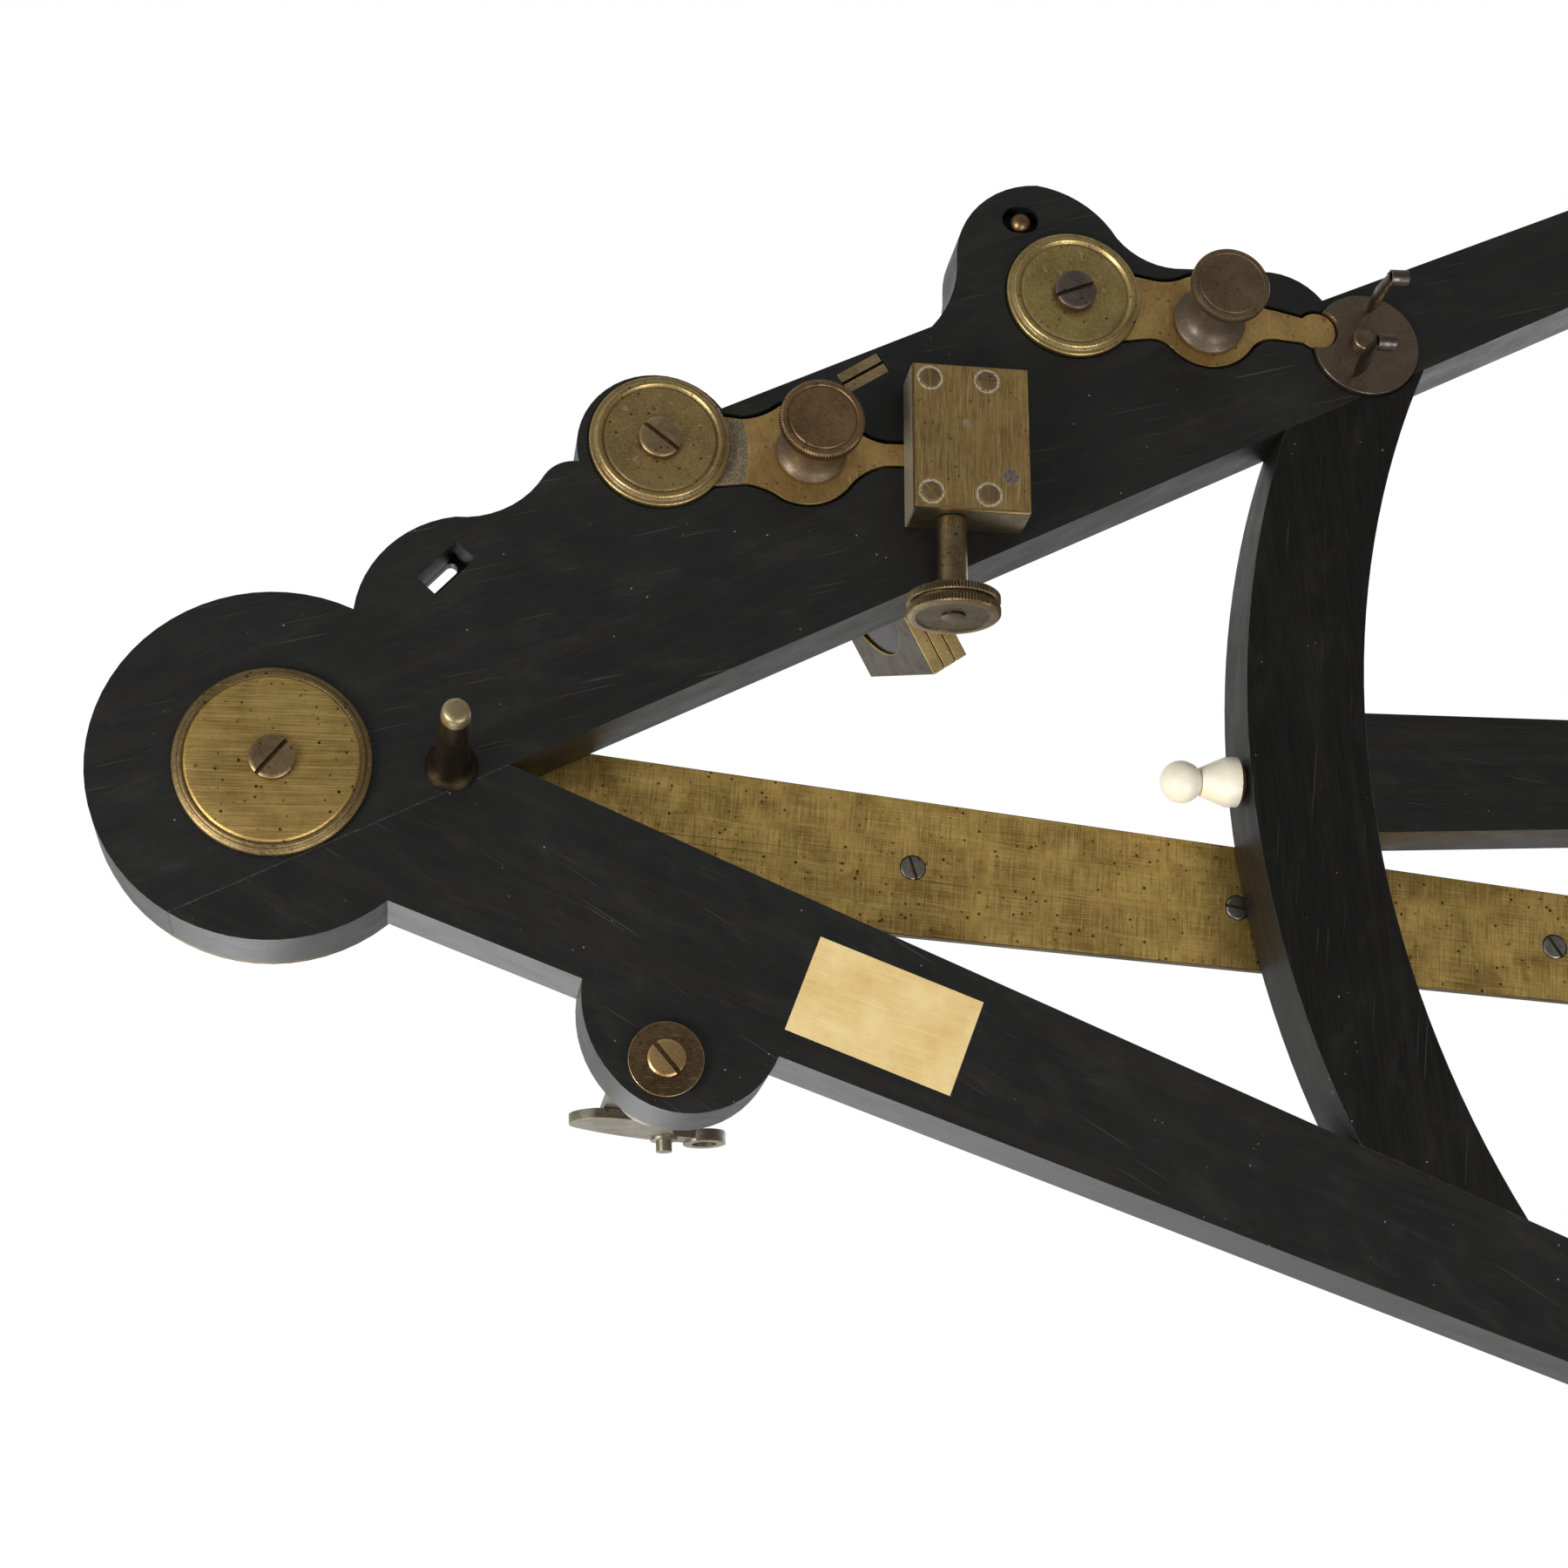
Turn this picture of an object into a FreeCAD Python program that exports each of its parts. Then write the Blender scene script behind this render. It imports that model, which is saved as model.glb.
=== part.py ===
import FreeCAD, Part
import math
import os
import re
import Sketcher

# A navigator's octant lying on its three feet: the pivot end points to -X, the graduated arc to +X, and the
# front face with its mirrors looks up. Every sub-part is drawn about its own axis, with z = 0 on the back face
# of the frame, and is then placed in the object's frame, whose origin is under the middle of its outline.

SIZES = {
    # frame
    "pivot_offset": -174.73, "foot_height": 33.0, "frame_thickness": 16.5, "strut_thickness": 13.4,
    "apex_radius": 36.4, "notch_distance": 46.8, "limb_angle": 25.0,
    "arc_inner": 352.0, "arc_outer": 381.0, "arc_half_angle": 25.0,
    "scale_inner": 357.0, "scale_outer": 379.0, "scale_half_angle": 23.6, "inlay_depth": 1.5,
    "brace_near": 200.6, "brace_near_radius": 211.0, "brace_far": 226.3, "brace_far_radius": 206.0,
    "strut_half_width": 13.2, "strut_end_half_width": 10.5,
    # clearances
    "running_gap": 0.05, "face_gap": 0.1, "arm_gap": 0.5, "free_gap": 0.3,
    # index arm
    "index_angle": 7.0, "arm_half_width": 17.4, "arm_taper": 0.02, "arm_thickness": 2.2, "arm_hub_radius": 36.2,
    "arm_neck": 340.0, "arm_end_start": 346.0, "arm_end": 386.5, "arm_end_half_width": 25.0,
    "window_inner": 356.5, "window_outer": 376.5, "window_half_width": 18.0,
    "rib_start": 27.0, "rib_end": 340.0, "rib_half_width": 2.5, "rib_height": 3.2,
    "arm_screw_first": 62.3, "arm_screw_pitch": 69.9, "arm_screw_radius": 2.6, "arm_shank_radius": 1.1,
    "arbor_radius": 5.0, "bush_radius": 9.0, "bush_flange_radius": 17.0, "bush_flange": 2.0,
    "apex_disc_radius": 19.6, "apex_disc_rise": 2.6, "apex_screw_radius": 4.6, "apex_screw_rise": 4.0,
    "vernier_inner": 357.0, "vernier_outer": 362.5, "vernier_half_width": 17.5,
    "clamp_reach": 20.0, "clamp_half_width": 9.0, "clamp_plate": 2.5, "clamp_drop": 1.4,
    "clamp_screw_at": 369.0, "clamp_stem_radius": 2.5, "clamp_head_radius": 8.0, "clamp_head": 4.0,
    "clamp_stem": 9.0,
    # index mirror
    "mirror_base_half": 23.0, "mirror_base": 2.0, "mirror_height": 46.0, "mirror_depth": 4.2, "glass_depth": 3.0,
    "mirror_rim": 2.2, "mirror_back": 1.5, "index_mirror_screw_radius": 1.9,
    # horizon mirrors
    "fore_across": 78.6, "fore_up": -71.7, "fore_facing": 114.2,
    "back_across": 170.4, "back_up": -109.6, "back_facing": 204.2,
    "horizon_disc_radius": 14.9, "horizon_disc_rise": 2.4, "horizon_screw_radius": 4.6, "horizon_screw_rise": 3.6,
    "horizon_arbor_radius": 4.5, "horizon_base_radius": 12.5, "horizon_base": 2.6, "horizon_block": 6.0,
    "horizon_half_width": 13.0, "horizon_height": 30.0, "horizon_depth": 3.75, "lever_low": 0.2,
    "lever_thick": 2.0, "recess_depth": 2.4, "recess_margin": 0.8, "lever_hole_radius": 3.4,
    # clamp knobs
    "knob_stem_radius": 2.5, "knob_collar": 1.4, "knob_flare": 4.6,
    "fore_collar_radius": 7.6, "fore_neck_radius": 5.0, "fore_head_radius": 8.75, "fore_head": 3.0, "fore_end": 16.5,
    "back_collar_radius": 8.0, "back_neck_radius": 4.2, "back_head_radius": 8.6, "back_head": 2.4, "back_end": 17.4,
    "fore_knob_across": 110.8, "fore_knob_up": -70.6, "back_knob_across": 200.8, "back_knob_up": -104.5,
    # worm box and tangent screw
    "box_across": 143.2, "box_up": -69.7, "box_angle": 2.4, "box_half_width": 12.45, "box_half_length": 16.55,
    "box_depth": 9.6, "cover_thick": 1.5, "box_cavity_half_width": 9.0, "box_cavity_half_length": 10.0,
    "box_screw_radius": 2.2, "box_screw_shank": 1.2, "box_screw_across": 2.7, "box_screw_spread": 6.1,
    "box_screw_along": 13.1,
    "tangent_offset": -3.5, "tangent_height": -5.5, "tangent_radius": 2.0, "tangent_stem_radius": 3.1,
    "tangent_stem_end": 34.0, "tangent_head": 5.0, "tangent_head_radius": 9.7, "nut_half": 2.6, "nut_gap": 0.25,
    "nut_shift": -0.55, "nut_reach": 2.3,
    # winged adjuster
    "wing_across": 236.0, "wing_up": -99.6, "wing_disc_radius": 12.1, "wing_disc_rise": 1.2, "wing_stud_radius": 2.6,
    "wing_hub_radius": 2.7, "wing_hub": 3.2, "wing_height": 15.0, "wing_half_thick": 0.6, "wing_half_depth": 1.3,
    "upper_wing_across": 1.3, "upper_wing_up": -8.5, "lower_wing_across": -3.4, "lower_wing_up": 7.3,
    "curl_radius": 1.9, "curl_length": 3.8, "tip_radius": 4.3, "tip_across": 225.4, "tip_up": -103.1,
    # feet
    "foot_across": 35.2, "foot_up": 0.5, "foot_collar_radius": 5.2, "foot_collar": 3.0, "foot_pin_radius": 3.35,
    "foot_tip_radius": 2.75, "foot_spigot_radius": 2.0, "foot_spigot": 9.0, "arc_foot_radius": 330.0,
    "arc_foot_angle": 23.3,
    # sight vane
    "vane_across": 76.6, "vane_up": 60.7, "vane_washer_radius": 7.5, "vane_washer": 1.6, "vane_screw_radius": 3.8,
    "vane_screw_rise": 2.9, "vane_stem_radius": 3.0, "vane_base_radius": 9.0, "vane_base": 3.0,
    "vane_plate_front": 0.2, "vane_plate": 2.0, "pinhole_radius": 0.8, "pinhole_across": -7.0, "pinhole_height": 42.0,
    "shutter_across": 5.0, "shutter_height": 55.0, "shutter_thick": 2.0, "shutter_lobe_radius": 4.6,
    "shutter_lobe_across": 9.2, "shutter_lobe_height": 4.4, "shutter_hole_radius": 2.7,
    # back-sight vane
    "back_vane_across": 160.0, "back_vane_up": -127.6, "back_vane_facing": 81.2, "back_vane_radius": 6.0,
    "back_vane_base": 2.5, "back_vane_half_width": 6.0, "back_vane_height": 34.0, "back_vane_thick": 1.8,
    "back_vane_well": 3.2, "back_vane_well_half": 4.1, "back_vane_stem": 1.5, "back_vane_ball": 2.4,
    # shade sockets and shades
    "socket_half_length": 5.4, "socket_half_width": 2.6, "socket_angle": -31.3, "empty_socket_half_length": 5.7,
    "empty_socket_half_width": 2.75, "empty_socket_angle": -46.0, "empty_socket_well": 8.5,
    "slot_half_length": 4.3, "slot_half_width": 1.35, "slot_across": 33.3, "slot_up": -43.4, "slot_end": 11.0,
    "slot_recess_radius": 8.0, "empty_socket_across": 34.1, "empty_socket_up": -42.3,
    "shade_socket_across": 122.8, "shade_socket_up": -89.5,
    "tang_gap": 0.08, "tang_half_width": 2.52, "tang_split": 0.3,
    "sight_line_angle": -32.75, "shade_side": 37.0, "shade_thick": 2.9, "shade_pitch": 3.1, "shade_tilt": 23.0,
    "shade_glass_radius": 13.0, "shade_bezel_radius": 14.6, "shade_ear_radius": 3.4, "shade_pin_radius": 1.5,
    "shade_first": -12.45, "shade_pin_inward": 18.4, "shade_pin_height": 26.3,
    # note plate
    "note_across": 120.5, "note_up": 51.9, "note_half_length": 17.6, "note_half_width": 10.3, "note_angle": 22.8,
    # pencil
    "pencil_height": 7.2, "pencil_radius": 3.4, "pencil_bore": 3.6, "pencil_length": 66.0,
    "finial_length": 17.5, "finial_ball": 4.5, "finial_bell": 5.3,
}

document = FreeCAD.newDocument("Octant")
sheet = document.addObject("Spreadsheet::Sheet", "Sizes")
for row, (alias, amount) in enumerate(SIZES.items(), start=1):
    sheet.set("A%d" % row, alias)
    sheet.set("B%d" % row, str(amount))
    sheet.setAlias("B%d" % row, alias)
document.recompute()

parts = {}


# ---- helpers -------------------------------------------------------------------------------------------------
def size(alias):
    return float(sheet.get(alias))


def bind(thing, prop, formula):
    """Bind a property to a formula whose words, other than functions, are aliases of the sheet."""
    thing.setExpression(prop, re.sub(r"[a-z_]{3,}(?!\()\b", lambda word: "Sizes." + word.group(0), formula))


def put(thing, label, across="0", up="0", turn=0.0, about=(0, 0, 1)):
    """Name a finished sub-part and place it: across and up are its axis in the frame, turn its angle."""
    if thing.TypeId in ("Part::Box", "Part::Cylinder"):
        thing = group(thing)
    thing.Label = label
    thing.Placement = FreeCAD.Placement(FreeCAD.Vector(), FreeCAD.Rotation(FreeCAD.Vector(*about), turn))
    bind(thing, "Placement.Base.x", "pivot_offset + " + across)
    bind(thing, "Placement.Base.y", up)
    bind(thing, "Placement.Base.z", "foot_height")
    parts[label] = thing
    return thing


def polar(radius, degrees):
    angle = math.radians(degrees)
    return (radius * math.cos(angle), radius * math.sin(angle))


def to(x, y):
    return ("line", (x, y))


def bend(via, end):
    return ("arc", via, end)


def ring(x, y, formula):
    """A full circle for a sketch: its centre and a formula for its radius."""
    return ("ring", x, y, formula)


def path_edges(path):
    """Edges of a closed path: a start point, then straight and three-point-arc moves back to it."""
    edges = []
    here = path[0]
    for move in path[1:]:
        start = FreeCAD.Vector(here[0], here[1], 0)
        end = FreeCAD.Vector(move[-1][0], move[-1][1], 0)
        if move[0] == "line":
            edges.append(Part.LineSegment(start, end))
        else:
            edges.append(Part.Arc(start, FreeCAD.Vector(move[1][0], move[1][1], 0), end))
        here = move[-1]
    return edges


def box_path(low_x, high_x, low_y, high_y):
    return [(low_x, low_y), to(high_x, low_y), to(high_x, high_y), to(low_x, high_y), to(low_x, low_y)]


def turned_path(path, degrees, x=0.0, y=0.0):
    """The same path turned about its origin and moved."""
    def spin(point):
        cosine, sine = polar(1.0, degrees)
        return (x + point[0] * cosine - point[1] * sine, y + point[0] * sine + point[1] * cosine)
    moved = [spin(path[0])]
    for move in path[1:]:
        moved.append((move[0],) + tuple(spin(point) for point in move[1:]))
    return moved


def grown_edges(path, margin):
    """Edges of the same path, larger by a margin all round."""
    wire = Part.Wire([edge.toShape() for edge in path_edges(path)])
    edges = []
    for edge in wire.makeOffset2D(margin).Edges:
        if edge.Curve.TypeId == "Part::GeomLine":
            edges.append(Part.LineSegment(edge.Vertexes[0].Point, edge.Vertexes[-1].Point))
        else:
            edges.append(Part.ArcOfCircle(edge.Curve, edge.FirstParameter, edge.LastParameter))
    return edges


def new_body(label):
    body = document.addObject("PartDesign::Body", label)
    return body


def add_sketch(body, outlines, level, plane="XY_Plane"):
    """A sketch on one of the body's own origin planes, lifted to a level given as a formula."""
    support = [item for item in body.Origin.OriginFeatures if item.Role == plane][0]
    sketch = body.newObject("Sketcher::SketchObject", body.Name + "_sketch")
    sketch.AttachmentSupport = [(support, "")]
    sketch.MapMode = "FlatFace"
    bind(sketch, "AttachmentOffset.Base.z", level)
    for outline in outlines:
        if outline[0] == "ring":
            circle = Part.Circle(FreeCAD.Vector(outline[1], outline[2], 0), FreeCAD.Vector(0, 0, 1), 1.0)
            index = sketch.addGeometry(circle, False)
            name = "radius_%d" % index
            number = sketch.addConstraint(Sketcher.Constraint("Radius", index, 1.0))
            sketch.renameConstraint(number, name)
            bind(sketch, "Constraints." + name, outline[3])
        elif outline[0] == "edges":
            sketch.addGeometry(outline[1], False)
        else:
            sketch.addGeometry(path_edges(outline), False)
    return sketch


def pad(body, outlines, low, high, plane="XY_Plane"):
    sketch = add_sketch(body, outlines, low, plane)
    feature = body.newObject("PartDesign::Pad", body.Name + "_pad")
    feature.Profile = sketch
    bind(feature, "Length", "(" + high + ") - (" + low + ")")
    body.Tip = feature
    document.recompute()
    return feature


def pocket(body, outlines, low, high, plane="XY_Plane"):
    """Cut outlines from the level high down to the level low, and make sure that something was cut."""
    before = body.Shape.Volume
    sketch = add_sketch(body, outlines, high, plane)
    feature = body.newObject("PartDesign::Pocket", body.Name + "_pocket")
    feature.Profile = sketch
    bind(feature, "Length", "(" + high + ") - (" + low + ")")
    body.Tip = feature
    document.recompute()
    if body.Shape.Volume > before - 0.01:
        raise RuntimeError("pocket cuts nothing in " + body.Label)
    return feature


TURNS = {"z": None, "x": ((0, 1, 0), 90), "y": ((1, 0, 0), -90)}


def aligned(thing, low, at, along):
    """Set a primitive on its axis: low is where it starts along it, at its two other coordinates."""
    if TURNS[along]:
        axis, degrees = TURNS[along]
        rotation = FreeCAD.Rotation(FreeCAD.Vector(*axis), degrees)
        thing.Placement = FreeCAD.Placement(FreeCAD.Vector(), rotation)
    others = [name for name in "xyz" if name != along]
    bind(thing, "Placement.Base." + along, low)
    bind(thing, "Placement.Base." + others[0], at[0])
    bind(thing, "Placement.Base." + others[1], at[1])
    return thing


def rod(radius, low, high, at=("0", "0"), along="z"):
    thing = document.addObject("Part::Cylinder", "rod")
    bind(thing, "Radius", radius)
    bind(thing, "Height", "(" + high + ") - (" + low + ")")
    return aligned(thing, low, at, along)


def taper(radius_low, radius_high, low, high, at=("0", "0"), along="z"):
    thing = document.addObject("Part::Cone", "taper")
    bind(thing, "Radius1", radius_low)
    bind(thing, "Radius2", radius_high)
    bind(thing, "Height", "(" + high + ") - (" + low + ")")
    return aligned(thing, low, at, along)


def block(across, up, level):
    """A box from three pairs of formulas: its low and high side along x, y and z."""
    thing = document.addObject("Part::Box", "block")
    for prop, axis, (low, high) in zip(("Length", "Width", "Height"), "xyz", (across, up, level)):
        bind(thing, prop, "(" + high + ") - (" + low + ")")
        bind(thing, "Placement.Base." + axis, low)
    return thing


def joined(*shapes):
    if len(shapes) == 1:
        return shapes[0]
    thing = document.addObject("Part::MultiFuse", "joined")
    thing.Shapes = list(shapes)
    return thing


def less(base, *tools):
    thing = document.addObject("Part::Cut", "less")
    thing.Base = base
    thing.Tool = joined(*tools)
    return thing


def group(*shapes):
    thing = document.addObject("Part::Compound", "group")
    thing.Links = list(shapes)
    return thing


# ---- the ebony frame -----------------------------------------------------------------------------------------
def glue_line_points():
    """Where the limbs' glue line, on the mirror limb's inner edge, meets the round apex, and the inner notch."""
    notch = size("notch_distance")
    cosine, sine = polar(1.0, size("limb_angle"))
    reach = notch * cosine + math.sqrt((notch * cosine) ** 2 - notch ** 2 + size("apex_radius") ** 2)
    return (notch - reach * cosine, reach * sine), (notch, 0.0)


def limb_corner(radius, side):
    """The point of a limb's inner edge at a distance from the pivot: side is +1 at the sight, -1 at the mirrors."""
    notch = size("notch_distance")
    cosine, sine = polar(1.0, size("limb_angle"))
    reach = -notch * cosine + math.sqrt((notch * cosine) ** 2 - notch ** 2 + radius ** 2)
    return (notch + reach * cosine, side * reach * sine)


def fore_lever_path():
    """Waisted lever: neck at the fore mirror's axis, round lobe under the clamp knob, straight tail."""
    return [(90.0, -78.5), to(96.4, -77.8), bend((101.0, -79.0), (104.4, -81.1)),
            bend((109.8, -82.3), (118.4, -78.3)), bend((121.6, -75.1), (127.0, -72.9)), to(143.5, -72.9),
            to(143.5, -67.9), to(127.0, -67.9), bend((121.6, -65.7), (118.4, -62.5)),
            bend((109.8, -58.5), (104.4, -59.7)), bend((101.0, -61.8), (96.4, -63.0)), to(90.0, -62.3),
            to(90.0, -78.5)]


def back_lever_path():
    """The same lever for the back mirror, cranked and ending in a round tip."""
    return [(181.0, -115.9), to(188.4, -114.4), bend((192.6, -114.1), (195.9, -115.0)),
            bend((204.8, -115.36), (209.6, -111.8)), bend((212.2, -109.2), (216.0, -107.9)), to(222.4, -106.2),
            bend((229.7, -103.1), (222.2, -100.25)), to(215.6, -101.0), bend((212.0, -100.2), (209.6, -98.0)),
            bend((200.6, -93.7), (192.2, -97.7)), bend((189.7, -99.6), (186.8, -100.1)), to(181.0, -99.4),
            to(181.0, -115.9)]


def socket_path(half_length, half_width, across, up, angle):
    path = box_path(-half_length, half_length, -half_width, half_width)
    return turned_path(path, angle, across, up)


def rounded_slot_path(half_length, half_width, across, up, angle):
    straight = half_length - half_width
    path = [(-straight, -half_width), to(straight, -half_width), bend((half_length, 0), (straight, half_width)),
            to(-straight, half_width), bend((-half_length, 0), (-straight, -half_width))]
    return turned_path(path, angle, across, up)


def mirror_limb():
    """The limb that carries the mirrors, with the whole pivot boss above the glue line and three round ears."""
    glue, notch = glue_line_points()
    end_inner = limb_corner(size("arc_inner"), -1)
    end_outer = polar(size("arc_inner"), -size("arc_half_angle"))
    middle = polar(size("arc_inner"), -0.5 * (size("arc_half_angle") + 21.8))
    outline = [notch, to(*glue), bend((-size("apex_radius"), 0.0), (15.5, -32.94)),
               bend((21.5, -46.0), (36.0, -53.8)), bend((47.5, -56.6), (54.4, -63.7)),
               bend((57.6, -66.4), (61.6, -67.0)), bend((76.0, -87.3), (92.0, -80.1)), to(138.5, -101.1),
               bend((142.9, -107.8), (145.0, -118.0)), bend((151.8, -132.3), (164.2, -136.9)),
               bend((174.6, -132.6), (181.5, -124.5)), bend((187.6, -119.2), (196.5, -117.4)), to(214.0, -117.4),
               bend((221.8, -115.6), (227.4, -110.7)), to(*end_outer), bend(middle, end_inner), to(*notch)]
    body = new_body("mirror_limb")
    pad(body, [outline], "0", "frame_thickness")
    pocket(body, [ring(0, 0, "bush_radius")], "0", "frame_thickness")
    pocket(body, [ring(0, 0, "bush_flange_radius")], "frame_thickness - bush_flange", "frame_thickness")
    for across, up in (("fore_across", "fore_up"), ("back_across", "back_up")):
        here = (size(across), size(up))
        pocket(body, [ring(*here, "horizon_arbor_radius + running_gap")], "0", "frame_thickness")
        pocket(body, [ring(*here, "horizon_disc_radius + recess_margin / 2")], "0", "lever_low + 0.1")
    for path in (fore_lever_path(), back_lever_path()):
        pocket(body, [("edges", grown_edges(path, size("recess_margin")))], "0", "recess_depth")
    pocket(body, [ring(size("wing_across"), size("wing_up"), "wing_disc_radius + free_gap")], "0", "recess_depth")
    studs = [(size("fore_knob_across"), size("fore_knob_up")), (size("back_knob_across"), size("back_knob_up"))]
    pocket(body, [ring(x, y, "knob_stem_radius + running_gap") for x, y in studs], "0", "12")
    pocket(body, [ring(size("wing_across"), size("wing_up"), "wing_stud_radius + running_gap")], "0", "12")
    angle = size("empty_socket_angle")
    empty = (size("empty_socket_across"), size("empty_socket_up"))
    half = (size("empty_socket_half_length"), size("empty_socket_half_width"))
    pocket(body, [socket_path(*half, *empty, angle)], "0", "empty_socket_well")
    slot = (size("slot_across"), size("slot_up"))
    half = (size("slot_half_length"), size("slot_half_width"))
    pocket(body, [rounded_slot_path(*half, *slot, angle)], "0", "slot_end + 1")
    pocket(body, [ring(*slot, "slot_recess_radius")], "slot_end", "frame_thickness")
    half = (size("socket_half_length"), size("socket_half_width"))
    plugged = (size("shade_socket_across"), size("shade_socket_up"))
    pocket(body, [socket_path(*half, *plugged, size("socket_angle"))], "0", "frame_thickness")
    vane = (size("back_vane_across"), size("back_vane_up"))
    well = (size("back_vane_well_half"), size("back_vane_well"))
    pocket(body, [rounded_slot_path(*well, vane[0] - 0.1, vane[1] - 0.5, 0.0)], "0", "4")
    pocket(body, [ring(*vane, "back_vane_stem + running_gap")], "0", "frame_thickness")
    pocket(body, [ring(size("foot_across"), size("foot_up"), "foot_spigot_radius")], "0", "foot_spigot")
    foot = polar(size("arc_foot_radius"), -size("arc_foot_angle"))
    pocket(body, [ring(*foot, "foot_spigot_radius")], "0", "foot_spigot")
    return put(body, "mirror_limb")


def sight_limb():
    """The limb that carries the sight vane: it butts against the mirror limb along the glue line."""
    glue, notch = glue_line_points()
    end_inner = limb_corner(size("arc_inner"), 1)
    end_outer = polar(size("arc_inner"), size("arc_half_angle"))
    middle = polar(size("arc_inner"), 0.5 * (size("arc_half_angle") + 21.8))
    outline = [notch, to(*end_inner), bend(middle, end_outer), to(99.0, 60.0),
               bend((82.5, 71.2), (66.2, 63.6)), bend((62.4, 57.5), (60.6, 44.2)), to(22.8, 28.38),
               bend((5.0, 36.06), glue), to(*notch)]
    body = new_body("sight_limb")
    pad(body, [outline], "0", "frame_thickness")
    note = box_path(-size("note_half_length"), size("note_half_length"),
                    -size("note_half_width"), size("note_half_width"))
    pocket(body, [turned_path(note, size("note_angle"), size("note_across"), size("note_up"))],
           "0", "inlay_depth")
    vane = (size("vane_across"), size("vane_up"))
    pocket(body, [ring(*vane, "vane_stem_radius")], "0", "frame_thickness")
    foot = polar(size("arc_foot_radius"), size("arc_foot_angle"))
    pocket(body, [ring(*foot, "foot_spigot_radius")], "0", "foot_spigot")
    return put(body, "sight_limb")


def brace_corner(middle, radius, side):
    """Where one curved edge of the brace meets a limb's inner edge; middle is that edge's point on the axis."""
    centre = middle + radius
    slope = math.tan(math.radians(size("limb_angle")))
    notch = size("notch_distance")
    square = 1 + slope ** 2
    half = (centre + notch * slope ** 2) / square
    x = half - math.sqrt(half ** 2 - (centre ** 2 - radius ** 2 + (notch * slope) ** 2) / square)
    return (x, side * (x - notch) * slope)


def cross_brace():
    """Curved brace between the limbs, hollow side to the arc, bored for the pencil."""
    near = (size("brace_near"), size("brace_near_radius"))
    far = (size("brace_far"), size("brace_far_radius"))
    outline = [brace_corner(*near, -1), bend((near[0], 0.0), brace_corner(*near, 1)), to(*brace_corner(*far, 1)),
               bend((far[0], 0.0), brace_corner(*far, -1)), to(*brace_corner(*near, -1))]
    body = new_body("cross_brace")
    pad(body, [outline], "0", "frame_thickness")
    pocket(body, [ring(size("wing_across"), size("wing_up"), "wing_disc_radius + free_gap")], "0", "recess_depth")
    bore = rod("pencil_bore", "brace_near - 5", "brace_far + 5", ("0", "pencil_height"), "x")
    return put(less(body, bore), "cross_brace")


def centre_strut():
    """Straight strut on the axis of symmetry, thinner than the limbs and flush with the back."""
    start = size("strut_half_width")
    end = size("strut_end_half_width")
    inner = size("arc_inner")
    centre = size("brace_far") + size("brace_far_radius")
    start_x = centre - math.sqrt(size("brace_far_radius") ** 2 - start ** 2)
    end_x = math.sqrt(inner ** 2 - end ** 2)
    outline = [(start_x, -start), to(end_x, -end), bend((inner, 0.0), (end_x, end)), to(start_x, start),
               bend((size("brace_far"), 0.0), (start_x, -start))]
    body = new_body("centre_strut")
    pad(body, [outline], "0", "strut_thickness")
    bore = rod("pencil_bore", "brace_far - 2", "brace_near + 70", ("0", "pencil_height"), "x")
    return put(less(body, bore), "centre_strut")


def sector(inner, outer, half_angle):
    """A slice of a ring about the pivot, symmetrical about +X."""
    return [polar(inner, -half_angle), to(*polar(outer, -half_angle)),
            bend((outer, 0.0), polar(outer, half_angle)), to(*polar(inner, half_angle)),
            bend((inner, 0.0), polar(inner, -half_angle))]


def arc_limb():
    body = new_body("arc_limb")
    pad(body, [sector(size("arc_inner"), size("arc_outer"), size("arc_half_angle"))], "0", "frame_thickness")
    inlay = sector(size("scale_inner"), size("scale_outer"), size("scale_half_angle"))
    pocket(body, [inlay], "frame_thickness - inlay_depth", "frame_thickness")
    return put(body, "arc_limb")


def arc_scale():
    body = new_body("arc_scale")
    inlay = sector(size("scale_inner"), size("scale_outer"), size("scale_half_angle"))
    pad(body, [inlay], "frame_thickness - inlay_depth", "frame_thickness")
    return put(body, "arc_scale")


def note_plate():
    body = new_body("note_plate")
    half = (size("note_half_length"), size("note_half_width"))
    pad(body, [box_path(-half[0], half[0], -half[1], half[1])], "0", "inlay_depth")
    return put(body, "note_plate", "note_across", "note_up", size("note_angle"))


def foot(at=("0", "0")):
    """Turned foot: a spigot in the wood, a collar on the back face and a slightly tapered pin."""
    return joined(rod("foot_spigot_radius", "0", "foot_spigot", at),
                  rod("foot_collar_radius", "-foot_collar", "0", at),
                  taper("foot_tip_radius", "foot_pin_radius", "-foot_height", "-foot_collar", at))


def feet():
    put(foot(), "foot_apex", "foot_across", "foot_up")
    across = "arc_foot_radius * cos(arc_foot_angle)"
    up = "arc_foot_radius * sin(arc_foot_angle)"
    put(group(foot((across, up)), foot((across, "-" + up))), "arc_feet")


# ---- index arm, turning on the pivot -------------------------------------------------------------------------
def arm_width(radius):
    return size("arm_half_width") - size("arm_taper") * radius


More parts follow.
